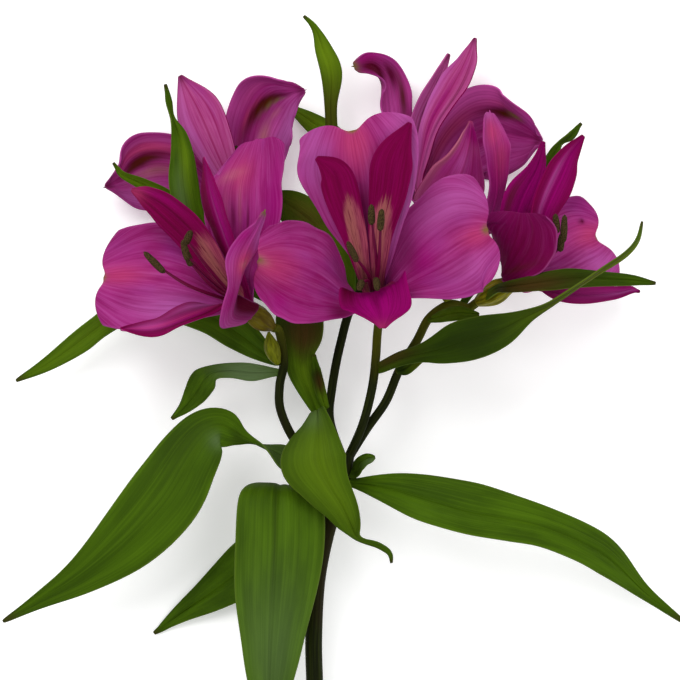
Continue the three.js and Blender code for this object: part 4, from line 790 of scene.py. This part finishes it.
# The inner tepals: three narrow petals to a bloom, crimson above a ragged edge and cream with
# dark flecks below it, drawn to a fine point. They stand in front of the outer ones.
INNER_CLAW = {"start": 3.1, "rise": 4, "reach": 3}
inner_face = tepal_skin("inner_tepal_face", shade(98, 0, 48), shade(112, 0, 60), shade(132, 2, 84),
                        shade(84, 0, 38), 0.4, bluish=0.0)
inner_back = tepal_skin("inner_tepal_back", shade(154, 50, 112), shade(170, 72, 130), shade(188, 100, 156),
                        shade(124, 4, 66), 0.3, grooves=0.55)
# Their darkest spots are partly painted shade in hollows, folds and on sides turned from the lamps, and the palest
# are painted light.
INNER_TEPALS = {
    "front": [
        {"rib": [(4.2, 50.5, 22.5, 2.2), (1.8, 60, 26.5, 3.6), (-1.2, 70, 29.5, 4.8), (-3.2, 75.5, 30.5, 4.2),
                 (-7.9, 79.3, 31, 0.5)],
         "bare": (0.66, 0.24, 0.3)},
        {"rib": [(8.6, 50.5, 22.5, 2.3), (9.3, 61, 26.5, 3.8), (11, 70, 29, 5.4), (12.8, 79.5, 31.5, 5.4),
                 (17, 88.5, 33.5, 0.5)],
         "bare": (0.655, 0.2, 0)},
        {"rib": [(6.8, 43.4, 22, 6.4, 0, 25), (7.6, 43.2, 29, 9.8, 0, 35), (8.8, 39.6, 35, 8.6, 0, 20),
                 (9.8, 34, 37.5, 0.8)],
         "ruffle": (1.4, 3.2, 0.8), "wander": 0.09, "flutter": 0.8, "lean": -0.05, "skew": -0.5,
         "marks": {"magenta": [(0.75, 0, 0.35, 2, 0.9)], "blush": [(1, 0, 0.06, 1, 0.6)],
                   "dark_and_shade": [(0.6, 0.8, 0.16, 0.3, 1), (0.56, 0.1, 0.1, 2, 0.3), (0.75, -0.7, 0.2, 0.3, 0.25),
                            (0.7, 0.05, 0.2, 0.06, 0.9), (0.55, 0.75, 0.12, 0.3, 1)],
                   "green": [(0.4, -0.3, 0.05, 0.4, 0.7)]}},
    ],
    "left": [
        {"rib": [(-33, 48, 12.5, 3), (-39.6, 57.2, 14, 5), (-47.4, 65, 13, 5.3), (-53.2, 69.2, 11.4, 3.3),
                 (-57.6, 71.4, 10, 0.5)],
         "bare": (0.54, 0.1, 0.4),
         "marks": {"magenta": [(0.8, 0.6, 0.2, 0.3, 0.5)],
                   "dark_and_shade": [(0.7, -0.35, 0.2, 0.05, 0.8), (0.66, 0.25, 0.2, 0.04, 0.7)],
                   "blush": [(0.96, 0, 0.1, 1, 0.7)]}},
        {"rib": [(-29.3, 50.2, 14.2, 2.8), (-33, 60, 16.5, 5), (-36.2, 70, 17, 4.6), (-38, 80, 16, 0.5)],
         "marks": {"magenta": [(0.7, 0.35, 0.35, 0.5, 1.1)], "dark_and_shade": [(0.7, -0.6, 0.3, 0.3, 0.5)],
                   "lilac": [(0.6, 0, 0.25, 0.06, 0.5)]}},
        {"rib": [(-31, 41, 15.5, 3, -30, 15), (-40, 38, 21, 4.2, -72, 20), (-50, 34.4, 24, 4.3, -72, 20),
                 (-60, 33.6, 26, 0.5, -72)],
         "ruffle": (0.8, 3, 1), "wander": 0.09,
         "marks": {"blush": [(0.75, 0.1, 0.3, 0.12, 0.4)], "magenta": [(0.75, -0.1, 0.3, 0.5, 0.8)],
                   "painted_light": [(0.84, 0.2, 0.1, 0.5, 0.5)], "lilac": [(0.5, 0.6, 0.2, 0.3, 0.7)],
                   "dark_and_shade": [(0.6, -0.55, 0.3, 0.14, 1), (0.55, 0.45, 0.2, 0.1, 0.8)],
                   "brown_and_shade": [(0.45, -0.2, 0.1, 0.3, 0.6)]}},
    ],
    "upper_left": [
        {"rib": [(-30.5, 71.5, -11, 3, 30), (-35.5, 83.5, -10.5, 6, 60, -20), (-40, 93.5, -11, 6.4, 70, -20),
                 (-45.2, 103, -12, 0.5, 70)],
         "marks": {"lilac": [(0.7, 0.7, 0.3, 0.3, 0.7)], "dark_and_shade": [(1, 0, 0.04, 1, 0.8)]}},
        {"rib": [(-29.5, 71, -15.5, 2.5), (-33, 80, -17, 3.6), (-36.5, 87, -17, 3.4), (-39, 92.5, -17, 0.5)]},
        {"rib": [(-23.8, 69.5, -13, 2.5), (-22.5, 76, -11.5, 3.5), (-21.8, 80, -11, 3), (-21.5, 84, -10.5, 0.5)]},
    ],
    "upper_right": [
        {"rib": [(18.8, 78, -14, 3, -20), (20.1, 90, -18, 3.5, -30), (24.5, 100.5, -19.5, 2.7, -30),
                 (28.2, 109.3, -19.5, 0.5, -30)],
         "turned": True,
         "marks": {"dark_and_shade": [(1, 0, 0.05, 1, 0.8)], "lilac": [(0.65, 0, 0.3, 2, 0.5)]}},
        {"rib": [(20.6, 78, -9.5, 2.4), (23.4, 89.5, -9, 4, 20, -20), (29.2, 99.5, -11, 5.8, 20, -20),
                 (33, 107, -12, 3.6, 20), (35.2, 113.3, -12.5, 0.5, 20)],
         "marks": {"dark_and_shade": [(1, 0, 0.04, 1, 0.8), (0.6, -0.5, 0.2, 0.1, 0.6)],
                   "magenta": [(0.55, 0.1, 0.2, 0.25, 0.9)], "lilac": [(0.6, 0.9, 0.2, 0.25, 0.9)]}},
        {"rib": [(25, 66.3, -5, 9), (30, 74.2, -3.2, 9.4), (32.4, 80.7, -3, 5.6), (33.5, 86.5, -4, 2.4),
                 (33.8, 90.3, -4.5, 0.5)],
         "marks": {"cream": [(0.7, 0.95, 0.3, 0.12, 1)], "brown_and_shade": [(0.7, 0.8, 0.3, 0.08, 0.4)],
                   "magenta": [(0.85, -0.4, 0.12, 1, 1.2), (0.55, 0, 0.3, 2, 0.75)],
                   "lilac": [(0.62, 0.1, 0.1, 0.3, 0.5)], "blush": [(1, 0, 0.03, 1, 0.7)]}},
    ],
    "right": [
        {"rib": [(44, 57, 3.2, 3.6, -20), (46.9, 68, 2, 5.4, -30), (51.6, 77.3, 0, 2.9, -30),
                 (53.4, 84.8, -2, 0.5, -30)],
         "marks": {"magenta": [(0.62, 0, 0.4, 2, 1.1)],
                   "brown_and_shade": [(0.6, -0.6, 0.12, 0.2, 0.8), (0.55, 1, 0.1, 0.3, 0.8)],
                   "dark_and_shade": [(0.5, 0.6, 0.12, 0.5, 0.6)]}},
        {"rib": [(50, 56.5, 8, 3, -20), (53.8, 67, 9, 4.8, -30), (57.7, 75.5, 8.5, 5.2, -30),
                 (60.4, 81, 7.5, 3.2, -30), (64, 86, 6, 0.5, -30)],
         "marks": {"magenta": [(0.65, 0, 0.4, 0.6, 0.9)], "lilac": [(0.6, -0.35, 0.2, 0.12, 0.6)]}},
        {"rib": [(50.5, 45, 9, 2.8), (58, 43.3, 11, 3, 50, 15), (67, 43.2, 11, 3.2, 55, 15),
                 (73.5, 43.8, 10, 2, 55), (77, 44.6, 9.6, 0.9, 55), (79, 44.1, 9, 0.4, 55)],
         "ruffle": (0.9, 2.5, 2), "wander": 0.09,
         "marks": {"magenta": [(0.75, 0, 0.3, 1, 1)], "painted_light": [(0.6, 0, 0.3, 1, 0.15)],
                   "lilac": [(0.75, 0.2, 0.14, 0.3, 0.8)], "dark_and_shade": [(1, 0, 0.05, 1, 0.8)]}},
    ],
}
make_tepals("inner", INNER_TEPALS, INNER_CLAW, inner_face, inner_back, 20.5, columns=14, wander=0.03,
            flutter=0.25, furrow=0.5)


# The stamens: dark crimson threads out of the bloom's throat, each with an olive anther of two
# long lobes balanced on its end.
THREAD_ROOT = 4.75  # up the bloom's axis from its hub
THREAD_RADII = (0.5, 0.5, 0.3)
ANTHER_RADII = (0.8, 1.05, 0.7)
# Of each stamen the middle of its thread, and the lower and upper end of its anther.
STAMENS = {
    "front": [[(8.2, 50, 27), (6.8, 61.3, 36), (6.6, 66.8, 38)], [(8.6, 50, 28), (9, 59.7, 37), (9.4, 65.6, 38.5)],
              [(6, 48, 28), (3, 51.6, 35), (0.3, 57, 37)], [(6, 46.5, 27), (4.4, 46.8, 32), (3.2, 44.1, 34.5)],
              [(7.4, 46.5, 27), (8, 47.5, 32), (8.2, 44, 35)]],
    "left": [[(-41.3, 45.2, 19.5), (-48.2, 48.8, 24), (-53.8, 54.5, 24)],
             [(-36.5, 47.5, 20), (-42, 52, 26), (-43.4, 57.6, 27)],
             [(-35.8, 49, 18), (-42.8, 56.4, 22), (-41.2, 60.2, 22)],
             [(-36, 45.6, 20), (-41.2, 50.6, 24), (-42.4, 54.6, 25)]],
    "upper_left": [[(-28, 72, -13), (-29, 79, -14), (-30, 84, -14)],
                   [(-27.5, 72, -12), (-27.5, 78, -10.5), (-28, 83, -9.5)],
                   [(-28.5, 71, -12.5), (-31, 76, -12.5), (-33, 80, -13)]],
    "upper_right": [[(24, 74, -12), (28.5, 77, -10.5), (31, 81.5, -9.5)],
                    [(25, 74, -11.5), (30, 78, -10), (32.8, 82.5, -9.5)],
                    [(24.5, 74, -13), (31, 76, -13), (34, 80, -13)]],
    "right": [[(52, 52, 9.5), (58.2, 57, 12.5), (58.6, 64.6, 13)],
              [(52, 52.5, 9.5), (56.6, 59.5, 13), (56, 64.8, 14)],
              [(53, 51.5, 9), (57.4, 54.6, 12), (57.8, 59.6, 12.6)]],
}


def anther_lobes(u, angle):
    """Two plump lobes with a furrow between them, round at both ends."""
    return (1 - 0.3 * abs(math.sin(angle)) ** 0.5) * min(1, 0.15 + 2.6 * math.sqrt(max(u * (1 - u), 0)))


thread = Finish("filament_skin", Specular_IOR_Level=0.15)
thread_color = thread.mix(thread.read("along"), shade(116, 10, 60), shade(84, 0, 44))
filament_material = thread.done(thread_color, 0.45)
pollen = Finish("anther_skin", Specular_IOR_Level=0.05)
grains = pollen.noise(pollen.place(), 4200, 3)
anther_color = pollen.mix(grains.between(0.35, 0.65), shade(36, 24, 16), shade(74, 62, 34))
anther_material = pollen.done(anther_color, 0.9, grains, 0.2)
for name, stamens in STAMENS.items():
    root = BLOOMS[name]["hub"] + BLOOMS[name]["axis"] * THREAD_ROOT
    threads = new_bmesh(["along", "across"])
    for middle, foot, tip in stamens:
        foot, tip = Vector(foot), Vector(tip)
        points = zip((root, middle, foot.lerp(tip, 0.3)), THREAD_RADII)
        tube(threads, [(*point, radius) for point, radius in points], sides=10, steps=24)
    thread_faces = len(threads.faces)
    for middle, foot, tip in stamens:
        foot, tip = Vector(foot), Vector(tip)
        points = zip((foot, foot.lerp(tip, 0.45), tip), ANTHER_RADII)
        tube(threads, [(*point, radius) for point, radius in points], sides=20, steps=16, shape=anther_lobes)
    threads.faces.ensure_lookup_table()
    for patch in threads.faces[thread_faces:]:
        patch.material_index = 1
    finish_piece(threads, f"stamens_of_{name}_bloom", [f"stamens_{name}"],
                 [filament_material, anther_material])


# The table that the stem lies on: a plain top of matt white paint with a painted glow of its own, which
# lightens the shadows on it, under two soft lamps and a white room, seen from straight above the stem.
TABLE_HALF = 6  # in metres
TABLE_DROP = 0.0002  # in metres, so that nothing that lies on it shares its plane
TABLE_GLOW = 0.25
ROOM_LIGHT = 0.72
table_paint = Finish("table_top", Roughness=0.9, Specular_IOR_Level=0.1)
table_paint.shader.inputs["Base Color"].default_value = (0.93, 0.93, 0.93, 1)
table_paint.shader.inputs["Emission Color"].default_value = (1, 1, 1, 1)
table_paint.shader.inputs["Emission Strength"].default_value = TABLE_GLOW
table_top = bmesh.new()
bmesh.ops.create_grid(table_top, x_segments=1, y_segments=1, size=TABLE_HALF)
table_mesh = bpy.data.meshes.new("table_top")
table_top.to_mesh(table_mesh)
table_top.free()
table_mesh.materials.append(table_paint.material)
table = bpy.data.objects.new("table_top", table_mesh)
table.location.z = -TABLE_DROP
bpy.context.scene.collection.objects.link(table)

VIEW_MIDDLE = (-1.6, 31)
VIEW_DISTANCE = 1600
VIEW_WIDTH = 183.6
SENSOR_WIDTH = 36
camera_data = bpy.data.cameras.new("camera")
camera_data.sensor_width = SENSOR_WIDTH
camera_data.lens = SENSOR_WIDTH * VIEW_DISTANCE / VIEW_WIDTH
camera_data.clip_end = 20
camera = bpy.data.objects.new("camera", camera_data)
camera_place = Matrix.Translation(laid((*VIEW_MIDDLE, VIEW_DISTANCE)))
camera.matrix_world = camera_place @ Matrix.Rotation(LEAN, 4, "X")
bpy.context.scene.collection.objects.link(camera)
bpy.context.scene.camera = camera


def soft_light(name, place, size, watts):
    """A square lamp that faces the middle of the blooms, placed in metres."""
    data = bpy.data.lights.new(name, "AREA")
    data.size = size
    data.energy = watts
    lamp = bpy.data.objects.new(name, data)
    aim = laid((0, 40, 0)) - Vector(place)
    lamp.matrix_world = Matrix.Translation(place) @ aim.to_track_quat("-Z", "Y").to_matrix().to_4x4()
    bpy.context.scene.collection.objects.link(lamp)


soft_light("key_light", place=(-0.5, 0.9, 1.5), size=1.0, watts=16)
soft_light("fill_light", place=(0.9, -0.5, 1.6), size=1.6, watts=9)
world = bpy.data.worlds.new("studio")
world.use_nodes = True
world.node_tree.nodes["Background"].inputs["Color"].default_value = (1, 1, 1, 1)
world.node_tree.nodes["Background"].inputs["Strength"].default_value = ROOM_LIGHT
bpy.context.scene.world = world
bpy.context.scene.view_settings.view_transform = "Standard"
